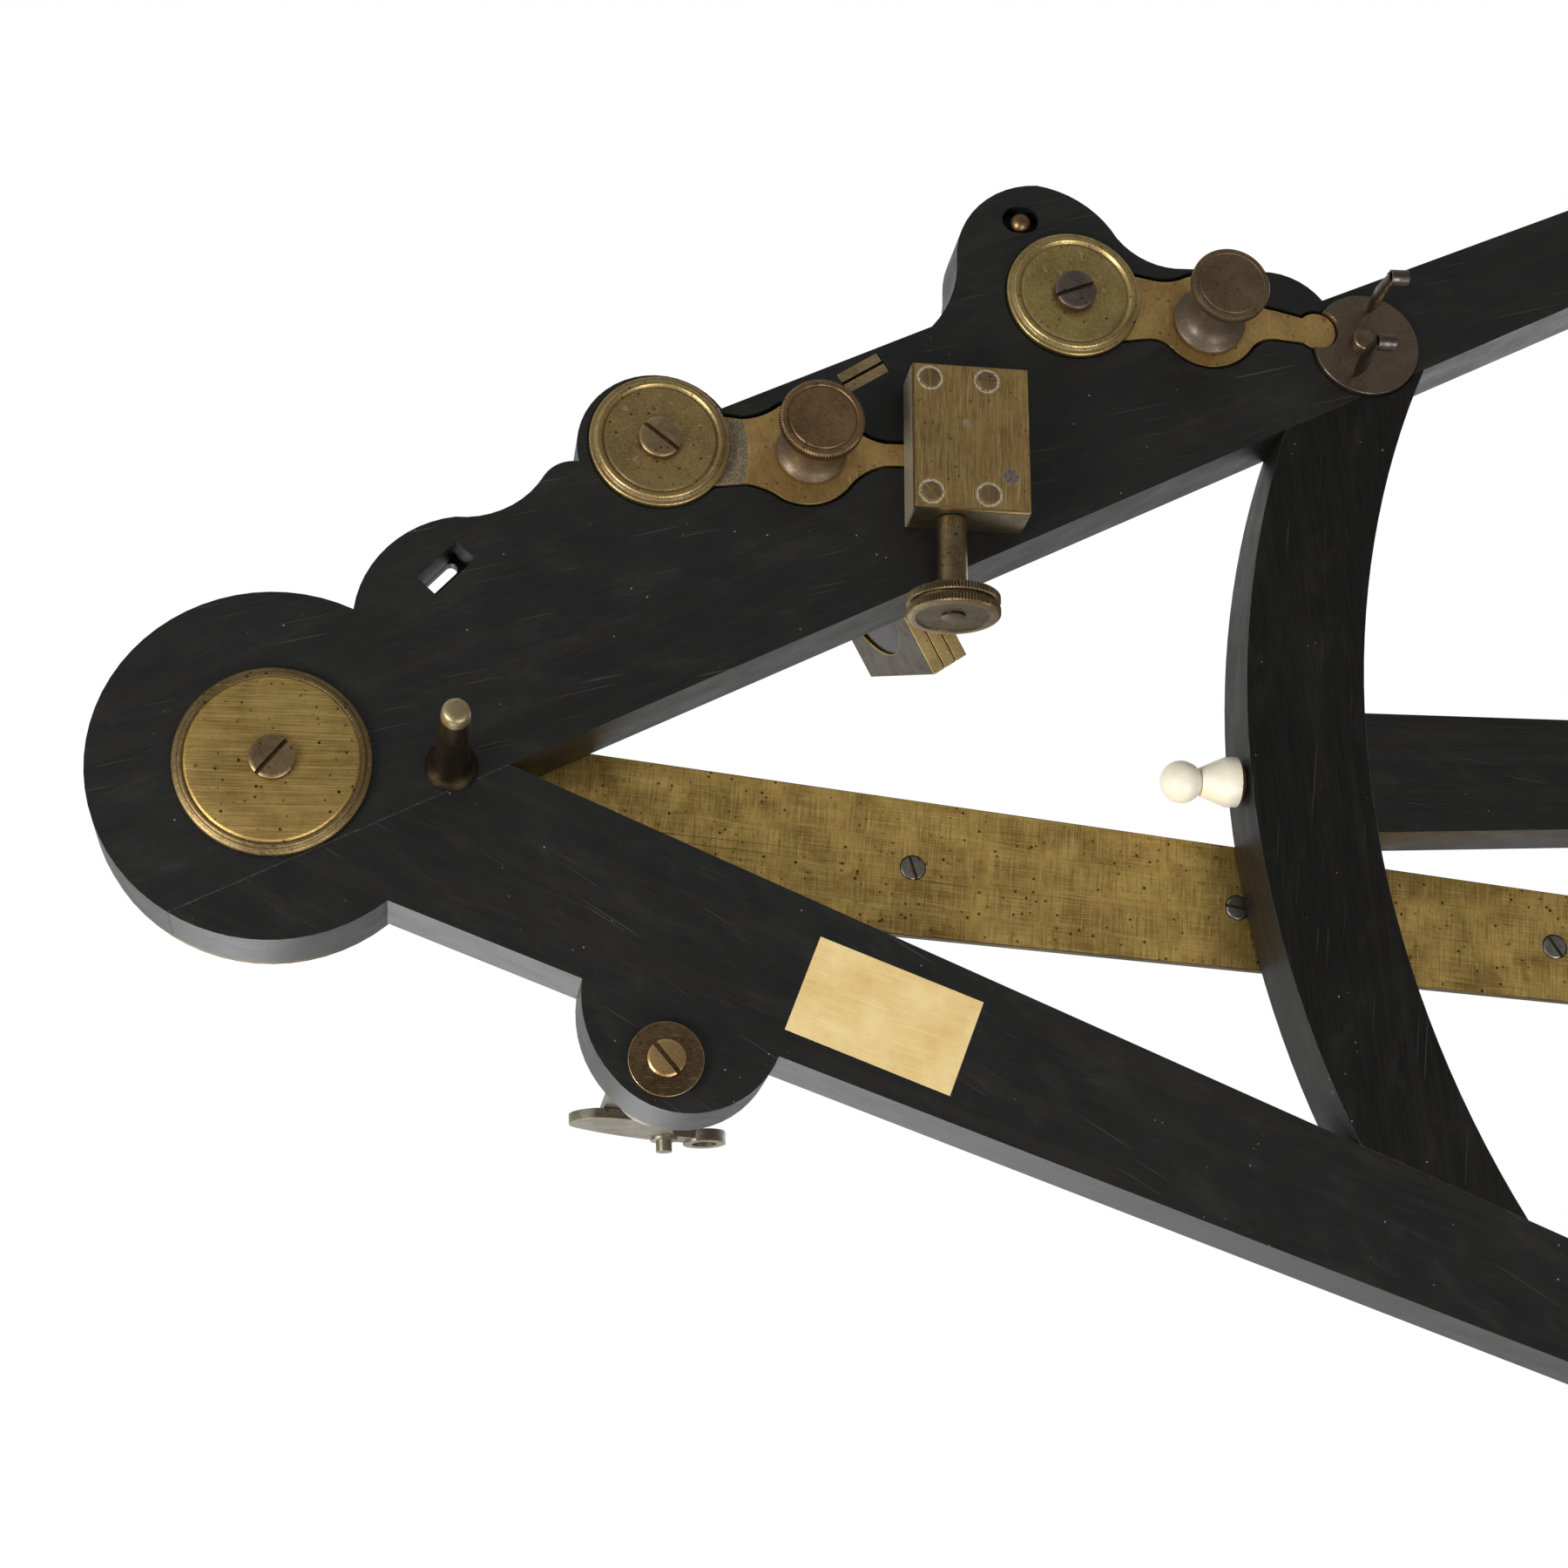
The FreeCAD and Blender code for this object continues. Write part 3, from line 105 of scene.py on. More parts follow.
# ---- shader helpers ------------------------------------------------------------------------------------
class Shader:
    """Short names for building one node material in object coordinates, measured in millimetres."""

    def __init__(self, name):
        self.material = bpy.data.materials.new(name)
        self.material.use_nodes = True
        tree = self.material.node_tree
        self.nodes = tree.nodes
        self.links = tree.links
        self.bsdf = self.nodes["Principled BSDF"]
        self.bsdf.inputs["IOR"].default_value = 1.5

    def add(self, kind, **values):
        node = self.nodes.new(kind)
        for key, value in values.items():
            setattr(node, key, value)
        return node

    def put(self, target, value):
        """Link a socket, or set a constant."""
        if hasattr(value, "links"):
            self.links.new(value, target)
        else:
            target.default_value = value

    def place(self, stretch=(1, 1, 1), turn=0.0, origin=(0, 0, 0)):
        """Object coordinates in millimetres about an origin, turned about Z, then stretched."""
        coordinates = self.add("ShaderNodeTexCoord").outputs["Object"]
        shift = self.add("ShaderNodeVectorMath", operation="SUBTRACT")
        self.put(shift.inputs[0], coordinates)
        shift.inputs[1].default_value = tuple(origin)
        spin = self.add("ShaderNodeVectorRotate", rotation_type="Z_AXIS")
        self.put(spin.inputs["Vector"], shift.outputs[0])
        spin.inputs["Angle"].default_value = -math.radians(turn)
        scale = self.add("ShaderNodeVectorMath", operation="MULTIPLY")
        self.put(scale.inputs[0], spin.outputs[0])
        scale.inputs[1].default_value = tuple(1000.0 * s for s in stretch)
        return scale.outputs[0]

    def noise(self, vector, scale, detail=3.0, rough=0.55, distort=0.0):
        node = self.add("ShaderNodeTexNoise")
        self.put(node.inputs["Vector"], vector)
        node.inputs["Scale"].default_value = scale
        node.inputs["Detail"].default_value = detail
        node.inputs["Roughness"].default_value = rough
        node.inputs["Distortion"].default_value = distort
        return node.outputs["Fac"]

    def cells(self, vector, scale):
        node = self.add("ShaderNodeTexVoronoi")
        self.put(node.inputs["Vector"], vector)
        node.inputs["Scale"].default_value = scale
        return node.outputs["Distance"]

    def ramp(self, fac, *stops):
        """A colour ramp through stops of (place, colour), where a grey may be one number."""
        node = self.add("ShaderNodeValToRGB")
        self.put(node.inputs["Fac"], fac)
        for index, (place, colour) in enumerate(stops):
            if index < 2:
                stop = node.color_ramp.elements[index]
                stop.position = place
            else:
                stop = node.color_ramp.elements.new(place)
            if isinstance(colour, (int, float)):
                colour = (colour, colour, colour)
            stop.color = tuple(colour) + (1.0,)
        return node.outputs["Color"]

    def mix(self, fac, low, high):
        node = self.add("ShaderNodeMix", data_type="RGBA")
        self.put(node.inputs[0], fac)
        for socket, value in ((node.inputs[6], low), (node.inputs[7], high)):
            if hasattr(value, "links"):
                self.links.new(value, socket)
            else:
                socket.default_value = tuple(value) + (1.0,) * (4 - len(value))
        return node.outputs[2]

    def maths(self, operation, *values):
        node = self.add("ShaderNodeMath", operation=operation)
        for socket, value in zip(node.inputs, values):
            self.put(socket, value)
        return node.outputs[0]

    def fit(self, value, low, high, new_low, new_high):
        node = self.add("ShaderNodeMapRange")
        self.put(node.inputs["Value"], value)
        for key, amount in (("From Min", low), ("From Max", high), ("To Min", new_low), ("To Max", new_high)):
            node.inputs[key].default_value = amount
        return node.outputs[0]

    def bump(self, height, strength, distance=0.0002, base=None):
        node = self.add("ShaderNodeBump")
        self.put(node.inputs["Height"], height)
        node.inputs["Strength"].default_value = strength
        node.inputs["Distance"].default_value = distance
        if base is not None:
            self.put(node.inputs["Normal"], base)
        return node.outputs[0]

    def finish(self, colour, roughness, normal=None, metallic=0.0, **others):
        """Connect the surface; the others are constants of the surface shader, named with underscores."""
        self.put(self.bsdf.inputs["Base Color"], colour)
        self.put(self.bsdf.inputs["Roughness"], roughness)
        if normal is not None:
            self.put(self.bsdf.inputs["Normal"], normal)
        self.put(self.bsdf.inputs["Metallic"], metallic)
        for key, value in others.items():
            self.bsdf.inputs[key.replace("_", " ")].default_value = value
        return self.material


# ---- materials -----------------------------------------------------------------------------------------
def ebony(name, turn, worn=False, sheen=0.5):
    """Nearly black wood with lengthwise grain, white specks and scratches; worn is for rubbed edges."""
    s = Shader(name)
    along = s.place((0.035, 1.0, 1.0), turn)
    fibre = s.noise(along, 2.6, 5.0, 0.62, 0.3)
    streak = s.noise(s.place((0.012, 0.35, 0.35), turn), 1.0, 3.0, 0.5)
    pores = s.noise(s.place((0.10, 2.2, 2.2), turn), 3.0, 2.0, 0.5)
    cloud = s.noise(s.place(), 0.045, 4.0, 0.55)
    smear = s.noise(s.place((0.45, 1.0, 1.0), turn + 20), 0.16, 5.0, 0.66, 0.25)
    dust = s.cells(s.place(), 0.42)
    where = s.noise(s.place(), 0.09, 2.0, 0.5)
    scratch = s.noise(s.place((0.022, 1.6, 1.6), turn + 11, (0.02, 0.01, 0)), 1.7, 1.0, 0.4)
    dark = s.mix(s.ramp(fibre, (0.35, 0.0), (0.72, 1.0)), (0.0050, 0.0049, 0.0048), (0.0112, 0.0105, 0.0098))
    dark = s.mix(s.ramp(streak, (0.52, 0.0), (0.75, 0.55)), dark, (0.018, 0.0145, 0.0118))
    dark = s.mix(s.ramp(cloud, (0.45, 0.0), (0.75, 0.40)), dark, (0.0145, 0.0152, 0.0140))
    dark = s.mix(s.ramp(smear, (0.55, 0.0), (0.80, 0.35)), dark, (0.030, 0.0275, 0.0245))
    dark = s.mix(s.ramp(scratch, (0.735, 0.0), (0.765, 0.35)), dark, (0.10, 0.094, 0.085))
    dots = s.ramp(dust, (0.05, 1.0), (0.09, 0.0))
    patches = s.ramp(where, (0.57, 0.0), (0.66, 0.85))
    dark = s.mix(s.maths("MULTIPLY", dots, patches), dark, (0.30, 0.29, 0.26))
    if worn:
        dark = s.mix(s.ramp(s.noise(s.place(), 0.35, 4.0, 0.6), (0.38, 0.10), (0.70, 0.85)), dark,
                     (0.085, 0.079, 0.073))
    rough = s.fit(smear, 0.3, 0.7, 0.34, 0.50)
    height = s.maths("MULTIPLY", pores, fibre)
    bumped = s.bump(height, 0.04, 0.0001)
    bumped = s.bump(smear, 0.06, 0.0004, bumped)
    return s.finish(dark, rough, bumped, 0.0, IOR=1.52, Specular_IOR_Level=sheen)


def brass(name, base, deep, light, turn=0.0, brushed=(0.03, 1.0, 1.0), rough=(0.30, 0.46), stain=0.5,
          spots=0.5, about=(0, 0, 0), rings=0.0, marks=(), brush=0.45, cross=0.0, coat=0.0):
    """Old lacquered brass: a base colour with brown patina, brushed lines, dark spots and rubbed places.

    turn is the heading of the brushed lines in degrees, and cross the strength of a second set across them.
    about is the middle of the turned rings, and marks are what ring() makes; some marks below are painted
    shade or painted light.
    """
    s = Shader(name)
    here = s.place((1, 1, 1), turn, about)
    lines = s.noise(s.place(brushed, turn, about), 6.0, 3.0, 0.6)
    scores = s.noise(s.place(tuple(0.5 * b for b in brushed), turn + 4, about), 3.1, 1.0, 0.4)
    patina = s.noise(here, 0.11, 5.0, 0.62, 0.4)
    blot = s.noise(here, 0.42, 4.0, 0.65)
    fine = s.noise(here, 2.3, 3.0, 0.6)
    pits = s.cells(here, 0.5)
    colour = s.mix(s.ramp(patina, (0.34, 0.0), (0.68, 1.0)), base, deep)
    colour = s.mix(s.ramp(blot, (0.56, 0.0), (0.74, stain)), colour, deep)
    colour = s.mix(s.ramp(lines, (0.48, 0.0), (0.74, brush)), colour, light)
    colour = s.mix(s.ramp(lines, (0.24, brush), (0.44, 0.0)), colour, tuple(0.45 * c for c in deep))
    colour = s.mix(s.ramp(scores, (0.68, 0.0), (0.74, 0.45)), colour, light)
    colour = s.mix(s.ramp(fine, (0.66, 0.0), (0.74, spots)), colour, tuple(0.22 * c for c in deep))
    if cross:
        weave = s.noise(s.place((1.1, 0.05, 1.1), turn, about), 2.6, 3.0, 0.6)
        colour = s.mix(s.ramp(weave, (0.50, 0.0), (0.72, cross)), colour, tuple(0.6 * c for c in deep))
        colour = s.mix(s.ramp(weave, (0.26, cross), (0.44, 0.0)), colour, light)
    holes = s.ramp(pits, (0.13, 1.0), (0.21, 0.0))
    patches = s.ramp(blot, (0.44, 0.0), (0.54, spots))
    colour = s.mix(s.maths("MULTIPLY", holes, patches), colour, tuple(0.15 * c for c in deep))
    dull = None
    for centre, low, high, tone, strength in marks:
        apart = s.add("ShaderNodeVectorMath", operation="DISTANCE")
        s.put(apart.inputs[0], s.place())
        apart.inputs[1].default_value = tuple(1000.0 * c for c in centre)
        ragged = s.maths("ADD", apart.outputs["Value"], s.fit(fine, 0.3, 0.7, -0.3, 0.3))
        inside = s.maths("MULTIPLY", s.fit(ragged, low - 0.2, low + 0.2, 0.0, 1.0),
                         s.fit(ragged, high - 0.2, high + 0.2, 1.0, 0.0))
        broken = s.maths("MULTIPLY", inside, s.fit(fine, 0.36, 0.52, 0.45 * strength, strength))
        colour = s.mix(broken, colour, tone)
        dull = broken if dull is None else s.maths("MAXIMUM", dull, broken)
    roughness = s.fit(s.maths("ADD", blot, patina), 0.7, 1.3, rough[0], rough[1])
    bumped = s.bump(lines, 0.12, 0.0001)
    bumped = s.bump(fine, 0.12, 0.0001, bumped)
    if rings:
        flat = s.add("ShaderNodeVectorMath", operation="MULTIPLY")
        s.put(flat.inputs[0], here)
        flat.inputs[1].default_value = (1, 1, 0)
        length = s.add("ShaderNodeVectorMath", operation="LENGTH")
        s.put(length.inputs[0], flat.outputs[0])
        wave = s.maths("SINE", s.maths("MULTIPLY", length.outputs["Value"], 9.0))
        bumped = s.bump(wave, rings, 0.00006, bumped)
    metal = 1.0 if dull is None else s.maths("SUBTRACT", 1.0, dull)
    return s.finish(colour, roughness, bumped, metal, Coat_Weight=coat, Coat_Roughness=0.22)


def ivory(name, base, deep, light):
    s = Shader(name)
    here = s.place()
    grain = s.noise(s.place((0.05, 1, 1), 20), 2.2, 3.0, 0.5)
    cloud = s.noise(here, 0.12, 4.0, 0.6)
    speck = s.noise(here, 1.1, 2.0, 0.6)
    colour = s.mix(s.ramp(cloud, (0.35, 0.0), (0.7, 1.0)), base, deep)
    colour = s.mix(s.ramp(grain, (0.5, 0.0), (0.8, 0.5)), colour, light)
    colour = s.mix(s.ramp(speck, (0.70, 0.0), (0.78, 0.5)), colour, tuple(0.45 * c for c in deep))
    return s.finish(colour, s.fit(cloud, 0.3, 0.7, 0.28, 0.42), s.bump(grain, 0.05), 0.0, IOR=1.54)


def steel(name, tone):
    s = Shader(name)
    here = s.place()
    lines = s.noise(s.place((0.06, 1, 1), 35), 7.0, 3.0, 0.6)
    blot = s.noise(here, 0.6, 4.0, 0.65)
    colour = s.mix(s.ramp(blot, (0.4, 0.0), (0.7, 1.0)), tone, tuple(0.4 * c for c in tone))
    colour = s.mix(s.ramp(lines, (0.5, 0.0), (0.8, 0.4)), colour, tuple(min(1.0, 1.5 * c) for c in tone))
    return s.finish(colour, s.fit(blot, 0.3, 0.7, 0.28, 0.5), s.bump(lines, 0.08, 0.0001), 1.0)


def mirror_glass(name):
    s = Shader(name)
    here = s.place()
    cloud = s.noise(here, 0.10, 4.0, 0.6)
    spot = s.noise(here, 0.9, 3.0, 0.6)
    colour = s.mix(s.ramp(cloud, (0.4, 0.0), (0.75, 0.5)), (0.80, 0.83, 0.81), (0.55, 0.56, 0.50))
    colour = s.mix(s.ramp(spot, (0.68, 0.0), (0.72, 0.7)), colour, (0.10, 0.09, 0.07))
    return s.finish(colour, s.fit(spot, 0.3, 0.7, 0.02, 0.12), None, 1.0)


def tinted_glass(name, colour):
    s = Shader(name)
    cloud = s.noise(s.place(), 0.09, 3.0, 0.5)
    seed = s.noise(s.place(), 1.3, 2.0, 0.5)
    tint = s.mix(s.ramp(cloud, (0.35, 0.0), (0.7, 1.0)), colour, tuple(0.8 * c for c in colour))
    return s.finish(tint, s.fit(seed, 0.3, 0.7, 0.02, 0.07), s.bump(seed, 0.03, 0.0001), 0.0,
                    Transmission_Weight=0.95, IOR=1.5)


def cedar(name):
    s = Shader(name)
    fibre = s.noise(s.place((0.05, 1, 1)), 2.4, 4.0, 0.6)
    colour = s.mix(s.ramp(fibre, (0.35, 0.0), (0.7, 1.0)), (0.35, 0.18, 0.09), (0.20, 0.095, 0.045))
    return s.finish(colour, s.fit(fibre, 0.3, 0.7, 0.5, 0.65), s.bump(fibre, 0.2), 0.0)


def ink(name):
    s = Shader(name)
    wear = s.noise(s.place(), 1.6, 3.0, 0.6)
    colour = s.mix(s.ramp(wear, (0.45, 0.0), (0.75, 0.8)), (0.012, 0.011, 0.010), (0.10, 0.075, 0.045))
    return s.finish(colour, s.fit(wear, 0.3, 0.7, 0.5, 0.8), None, 0.0)


FILLED = -1.0


def ring(centre, level, inner, outer, tone, strength):
    """A mark for brass(): a ring about a point of the plan, or a round patch where inner is FILLED."""
    return (tuple(plan(*centre, level)), inner, outer, tone, strength)


COVER_SCREWS = [(-8.8, -13.1, 86.0), (3.4, -13.1, 8.0), (-8.8, 13.1, 52.0), (3.4, 13.1, 90.0)]
COVER_LEVEL = -11.1
CHALK = (0.50, 0.48, 0.41)
COVER_MARKS = [ring(box_point(x, y), COVER_LEVEL, 2.38, 2.72, CHALK, 0.95) for x, y, _ in COVER_SCREWS]
COVER_MARKS += [ring(box_point(8.2, 8.6), COVER_LEVEL, FILLED, 1.9, (0.045, 0.05, 0.062), 0.95),
                ring(box_point(-1.2, -3.2), COVER_LEVEL, FILLED, 0.8, (0.13, 0.14, 0.14), 0.7)]
BRASS = brass("brass_plain", (0.46, 0.34, 0.165), (0.23, 0.155, 0.070), (0.66, 0.54, 0.33))
BRASS_EDGE = brass("brass_rubbed", (0.52, 0.39, 0.21), (0.27, 0.18, 0.085), (0.70, 0.57, 0.36),
                   rough=(0.28, 0.42))
# a dark copy of the brass for the arm's side faces, the slots and lower sides of screw heads and the bevelled
# edges of arm, box and cover: painted shade
BRASS_PAINTED_SHADE = brass("brass_painted_shade", (0.125, 0.088, 0.042), (0.060, 0.042, 0.022), (0.26, 0.19, 0.10),
                  rough=(0.42, 0.58))
BRASS_ARM = brass("brass_arm", (0.98, 0.645, 0.180), (0.36, 0.200, 0.048), (1.0, 0.83, 0.33),
                  turn=ARM_ANGLE, brushed=(0.012, 1.3, 1.3), rough=(0.34, 0.5), stain=0.8, spots=0.9,
                  brush=0.75, cross=0.6)
APEX_BRASS = brass("brass_apex", (0.53, 0.360, 0.112), (0.26, 0.168, 0.050), (0.78, 0.57, 0.23), turn=1.0,
                   brushed=(0.012, 0.8, 0.8), rough=(0.44, 0.58), stain=0.7, spots=1.0, about=at(*APEX),
                   brush=0.65)
APEX_RIM = brass("brass_apex_rim", (0.26, 0.180, 0.078), (0.125, 0.082, 0.037), (0.46, 0.35, 0.17),
                 brushed=(0.3, 0.6, 0.6), rough=(0.42, 0.58), stain=0.7, spots=0.7, about=at(*APEX),
                 rings=0.2)
FORE_BRASS = brass("brass_fore_disc", (0.46, 0.320, 0.125), (0.25, 0.165, 0.065), (0.70, 0.54, 0.28),
                   brushed=(0.3, 0.5, 0.5), rough=(0.32, 0.48), stain=0.6, spots=0.8, about=at(*FORE_DISC),
                   rings=0.12, marks=[ring(FORE_DISC, -1.8, 11.75, 12.25, (0.085, 0.062, 0.034), 0.75),
                                      ring(FORE_DISC, -1.3, 13.65, 14.15, (0.095, 0.066, 0.045), 0.75)])
BACK_BRASS = brass("brass_back_disc", (0.50, 0.370, 0.135), (0.28, 0.19, 0.070), (0.78, 0.61, 0.30),
                   turn=60.0, brushed=(0.2, 0.7, 0.7), rough=(0.30, 0.46), stain=0.6, spots=0.8,
                   about=at(*BACK_DISC), rings=0.12,
                   marks=[ring(BACK_DISC, -1.8, 11.75, 12.3, (0.085, 0.072, 0.040), 0.75),
                          ring(BACK_DISC, -1.3, 13.65, 14.15, (0.105, 0.082, 0.055), 0.75)])
# each knob's mark paints its collar and neck, under the head, dark and dull: painted shade
KNOB_BRASS = brass("brass_fore_knob", (0.27, 0.165, 0.080), (0.11, 0.064, 0.032), (0.42, 0.27, 0.12),
                   turn=20.0, brushed=(0.8, 1, 1), rough=(0.44, 0.60), stain=0.9, spots=0.6,
                   about=at(*FORE_KNOB),
                   marks=[ring(FORE_KNOB, -3.0, FILLED, 9.2, (0.030, 0.020, 0.013), 0.66)], coat=0.12)
BACK_KNOB_BRASS = brass("brass_back_knob", (0.22, 0.150, 0.084), (0.11, 0.072, 0.040), (0.34, 0.25, 0.14),
                        turn=50.0, brushed=(0.3, 1, 1), rough=(0.44, 0.58), stain=0.7, spots=0.5,
                        about=at(*BACK_KNOB),
                        marks=[ring(BACK_KNOB, -5.0, FILLED, 9.4, (0.020, 0.015, 0.011), 0.70)], coat=0.12)
COVER_BRASS = brass("brass_cover", (0.48, 0.310, 0.112), (0.22, 0.135, 0.046), (0.86, 0.68, 0.34),
                    turn=90 + BOX_TURN, brushed=(0.03, 1.5, 1.5), rough=(0.36, 0.52), stain=0.6, spots=0.5,
                    marks=COVER_MARKS, brush=0.6)
# a round patch over the left end of the worm box paints that side lighter: painted light
PAINTED_LIGHT_LEFT_END = ring(box_point(-412.0, 0.0), 0.0, FILLED, 400.3, (0.27, 0.235, 0.165), 0.85)
BOX_BRASS = brass("brass_box", (0.185, 0.150, 0.090), (0.085, 0.066, 0.038), (0.34, 0.30, 0.21), turn=30.0,
                  brushed=(0.5, 1, 1), rough=(0.42, 0.60), stain=0.8, spots=0.7, marks=[PAINTED_LIGHT_LEFT_END])
WORM_BRASS = brass("brass_worm", (0.235, 0.175, 0.092), (0.105, 0.074, 0.040), (0.38, 0.31, 0.18),
                   turn=90 + BOX_TURN, brushed=(0.2, 1, 1), rough=(0.34, 0.50), stain=0.8, spots=0.7)
# a darker copy of the worm's brass for the inner face of its head: painted shade
WORM_FACE_PAINTED_SHADE = brass("brass_worm_face_painted_shade", (0.105, 0.078, 0.042), (0.050, 0.036, 0.021), (0.19, 0.15, 0.085),
                  turn=90 + BOX_TURN, brushed=(0.3, 1, 1), rough=(0.36, 0.52), stain=0.8, spots=0.7)
WING_BRASS = brass("brass_wing", (0.205, 0.145, 0.090), (0.115, 0.085, 0.062), (0.29, 0.235, 0.17),
                   turn=40.0, brushed=(0.5, 1, 1), rough=(0.36, 0.52), stain=0.7, spots=0.3)
# the shade frames are a dark copy of brass on their faces, painted shade, and a bright copy on their side
# faces and edges, painted highlight
SHADE_BRASS = brass("brass_shade", (0.105, 0.094, 0.072), (0.060, 0.052, 0.038), (0.20, 0.18, 0.13),
                    turn=57.0, brushed=(0.1, 1, 1), rough=(0.42, 0.58), stain=0.6)
SHADE_EDGE = brass("brass_shade_edge", (0.62, 0.45, 0.175), (0.33, 0.22, 0.085), (0.84, 0.65, 0.32),
                   turn=57.0, brushed=(0.1, 1, 1), rough=(0.34, 0.48), stain=0.6)
VANE_BRASS = brass("brass_vane", (0.27, 0.245, 0.190), (0.135, 0.115, 0.080), (0.43, 0.40, 0.32), turn=20.0,
                   brushed=(0.3, 1, 1), rough=(0.34, 0.5), stain=0.8, spots=0.6)
BRASS_DARK = brass("brass_brown", (0.185, 0.118, 0.056), (0.080, 0.050, 0.027), (0.36, 0.25, 0.13),
                   brushed=(0.2, 1, 1), rough=(0.34, 0.52))
VANE_SCREW = brass("brass_vane_screw", (0.52, 0.34, 0.145), (0.24, 0.145, 0.060), (0.74, 0.53, 0.26),
                   turn=52.0, brushed=(0.1, 1, 1), rough=(0.30, 0.44))
BRASS_LEVER = brass("brass_lever", (0.66, 0.435, 0.155), (0.36, 0.220, 0.075), (0.88, 0.62, 0.26),
                    turn=88.0, brushed=(0.12, 1.2, 1.2), rough=(0.38, 0.54), stain=0.6, spots=0.6,
                    marks=[ring((67.5, -70.4), 0.0, FILLED, 30.0, (0.075, 0.072, 0.056), 0.95)])
FOOT_BRASS = brass("brass_foot", (0.115, 0.080, 0.040), (0.045, 0.032, 0.020), (0.20, 0.15, 0.08),
                   brushed=(0.5, 1, 1), rough=(0.30, 0.44), stain=0.7, spots=0.4)
FOOT_TIP = brass("brass_foot_tip", (0.40, 0.33, 0.185), (0.27, 0.21, 0.11), (0.52, 0.45, 0.28),
                 brushed=(0.5, 1, 1), rough=(0.38, 0.52))
SCREW_BROWN = brass("brass_screw", (0.36, 0.25, 0.135), (0.17, 0.108, 0.055), (0.52, 0.40, 0.24), turn=50.0,
                    brushed=(0.1, 1, 1), rough=(0.34, 0.48), stain=0.7, spots=0.8)
SCREW_PLUM = brass("brass_screw_plum", (0.20, 0.155, 0.130), (0.11, 0.083, 0.072), (0.33, 0.27, 0.23),
                   turn=30.0, brushed=(0.1, 1, 1), rough=(0.34, 0.48), stain=0.7, spots=0.6)
STEEL = steel("steel_dark", (0.30, 0.27, 0.235))
WING_STEEL = steel("wing_grey", (0.125, 0.105, 0.088))
IVORY = ivory("ivory_old", (0.77, 0.59, 0.270), (0.66, 0.45, 0.165), (0.84, 0.70, 0.40))
BONE = ivory("ivory_pale", (0.84, 0.79, 0.66), (0.76, 0.66, 0.46), (0.88, 0.84, 0.73))
MIRROR = mirror_glass("silvered_glass")
RED_GLASS = tinted_glass("glass_red", (0.075, 0.040, 0.042))
GREEN_GLASS = tinted_glass("glass_green", (0.06, 0.22, 0.08))
CEDAR = cedar("cedar_wood")
INK = ink("black_filling")

EBONY = {}
EDGE = {}
for key, angle, sheen in (("mirror_limb", -25.0, 0.36), ("sight_limb", 22.8, 0.34),
                          ("cross_brace", 88.0, 0.12), ("centre_strut", 0.0, 0.30), ("arc_limb", 90.0, 0.36)):
    EBONY[key] = ebony("ebony_" + key, angle, sheen=sheen)
    EDGE[key] = ebony("ebony_edge_" + key, angle, True, sheen)


# ---- modifiers and mesh helpers ------------------------------------------------------------------------
BEVEL_ANGLE = math.radians(40)
WELD = 1e-6


def dress(name, material, edge, width, segments=2):
    """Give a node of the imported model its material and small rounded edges."""
    thing = nodes[name]
    thing.data.materials.clear()
    thing.data.materials.append(material)
    if edge is not None:
        thing.data.materials.append(edge)
    weld = thing.modifiers.new("weld", "WELD")
    weld.merge_threshold = WELD
    if width:
        bevel = thing.modifiers.new("bevel", "BEVEL")
        bevel.width = width * MM
        bevel.segments = segments
        bevel.limit_method = "ANGLE"
        bevel.angle_limit = BEVEL_ANGLE
        bevel.miter_outer = "MITER_ARC"
        bevel.use_clamp_overlap = True
        if edge is not None:
            bevel.material = 1
    for polygon in thing.data.polygons:
        polygon.use_smooth = True
    smooth = thing.modifiers.new("normals", "WEIGHTED_NORMAL")
    smooth.keep_sharp = True


DRESS = {
    BRASS_DARK: ("sight_vane_washer", "shade_pin", "back_vane_screw"),
    VANE_BRASS: ("sight_vane", "sight_shutter", "back_vane"),
    SHADE_BRASS: ("shade_frame_first", "shade_frame_second", "shade_frame_third"),
    BRASS_LEVER: ("fore_lever", "back_lever"),
    BRASS_ARM: ("index_arm", "arm_stiffener"),
    BOX_BRASS: ("worm_box",),
    MIRROR: ("index_mirror_glass", "fore_mirror_glass", "back_mirror_glass"),
    STEEL: ("index_mirror_screws",),
    IVORY: ("arc_scale", "note_plate", "vernier_scale"),
    CEDAR: ("pencil",),
    BONE: ("pencil_finial",),
    RED_GLASS: ("shade_glass_first", "shade_glass_second"),
    GREEN_GLASS: ("shade_glass_third",),
}
PLAIN = ("pencil", "shade_glass_first", "shade_glass_second", "shade_glass_third")
for key in EBONY:
    dress(key, EBONY[key], EDGE[key], 0.45, 3)
SAME_EDGE = (IVORY, CEDAR, BONE, MIRROR, RED_GLASS, GREEN_GLASS, STEEL)
# the arm and the box get the dark brass on their bevels, painted shade; the shade frames get bright brass,
# painted highlight
OTHER_EDGE = {BRASS_ARM: BRASS_PAINTED_SHADE, BOX_BRASS: BRASS_PAINTED_SHADE, SHADE_BRASS: SHADE_EDGE}
for material, names in DRESS.items():
    rubbed = None if material in SAME_EDGE else OTHER_EDGE.get(material, BRASS_EDGE)
    for key in names:
        dress(key, material, rubbed, 0.0 if key in PLAIN else 0.15)
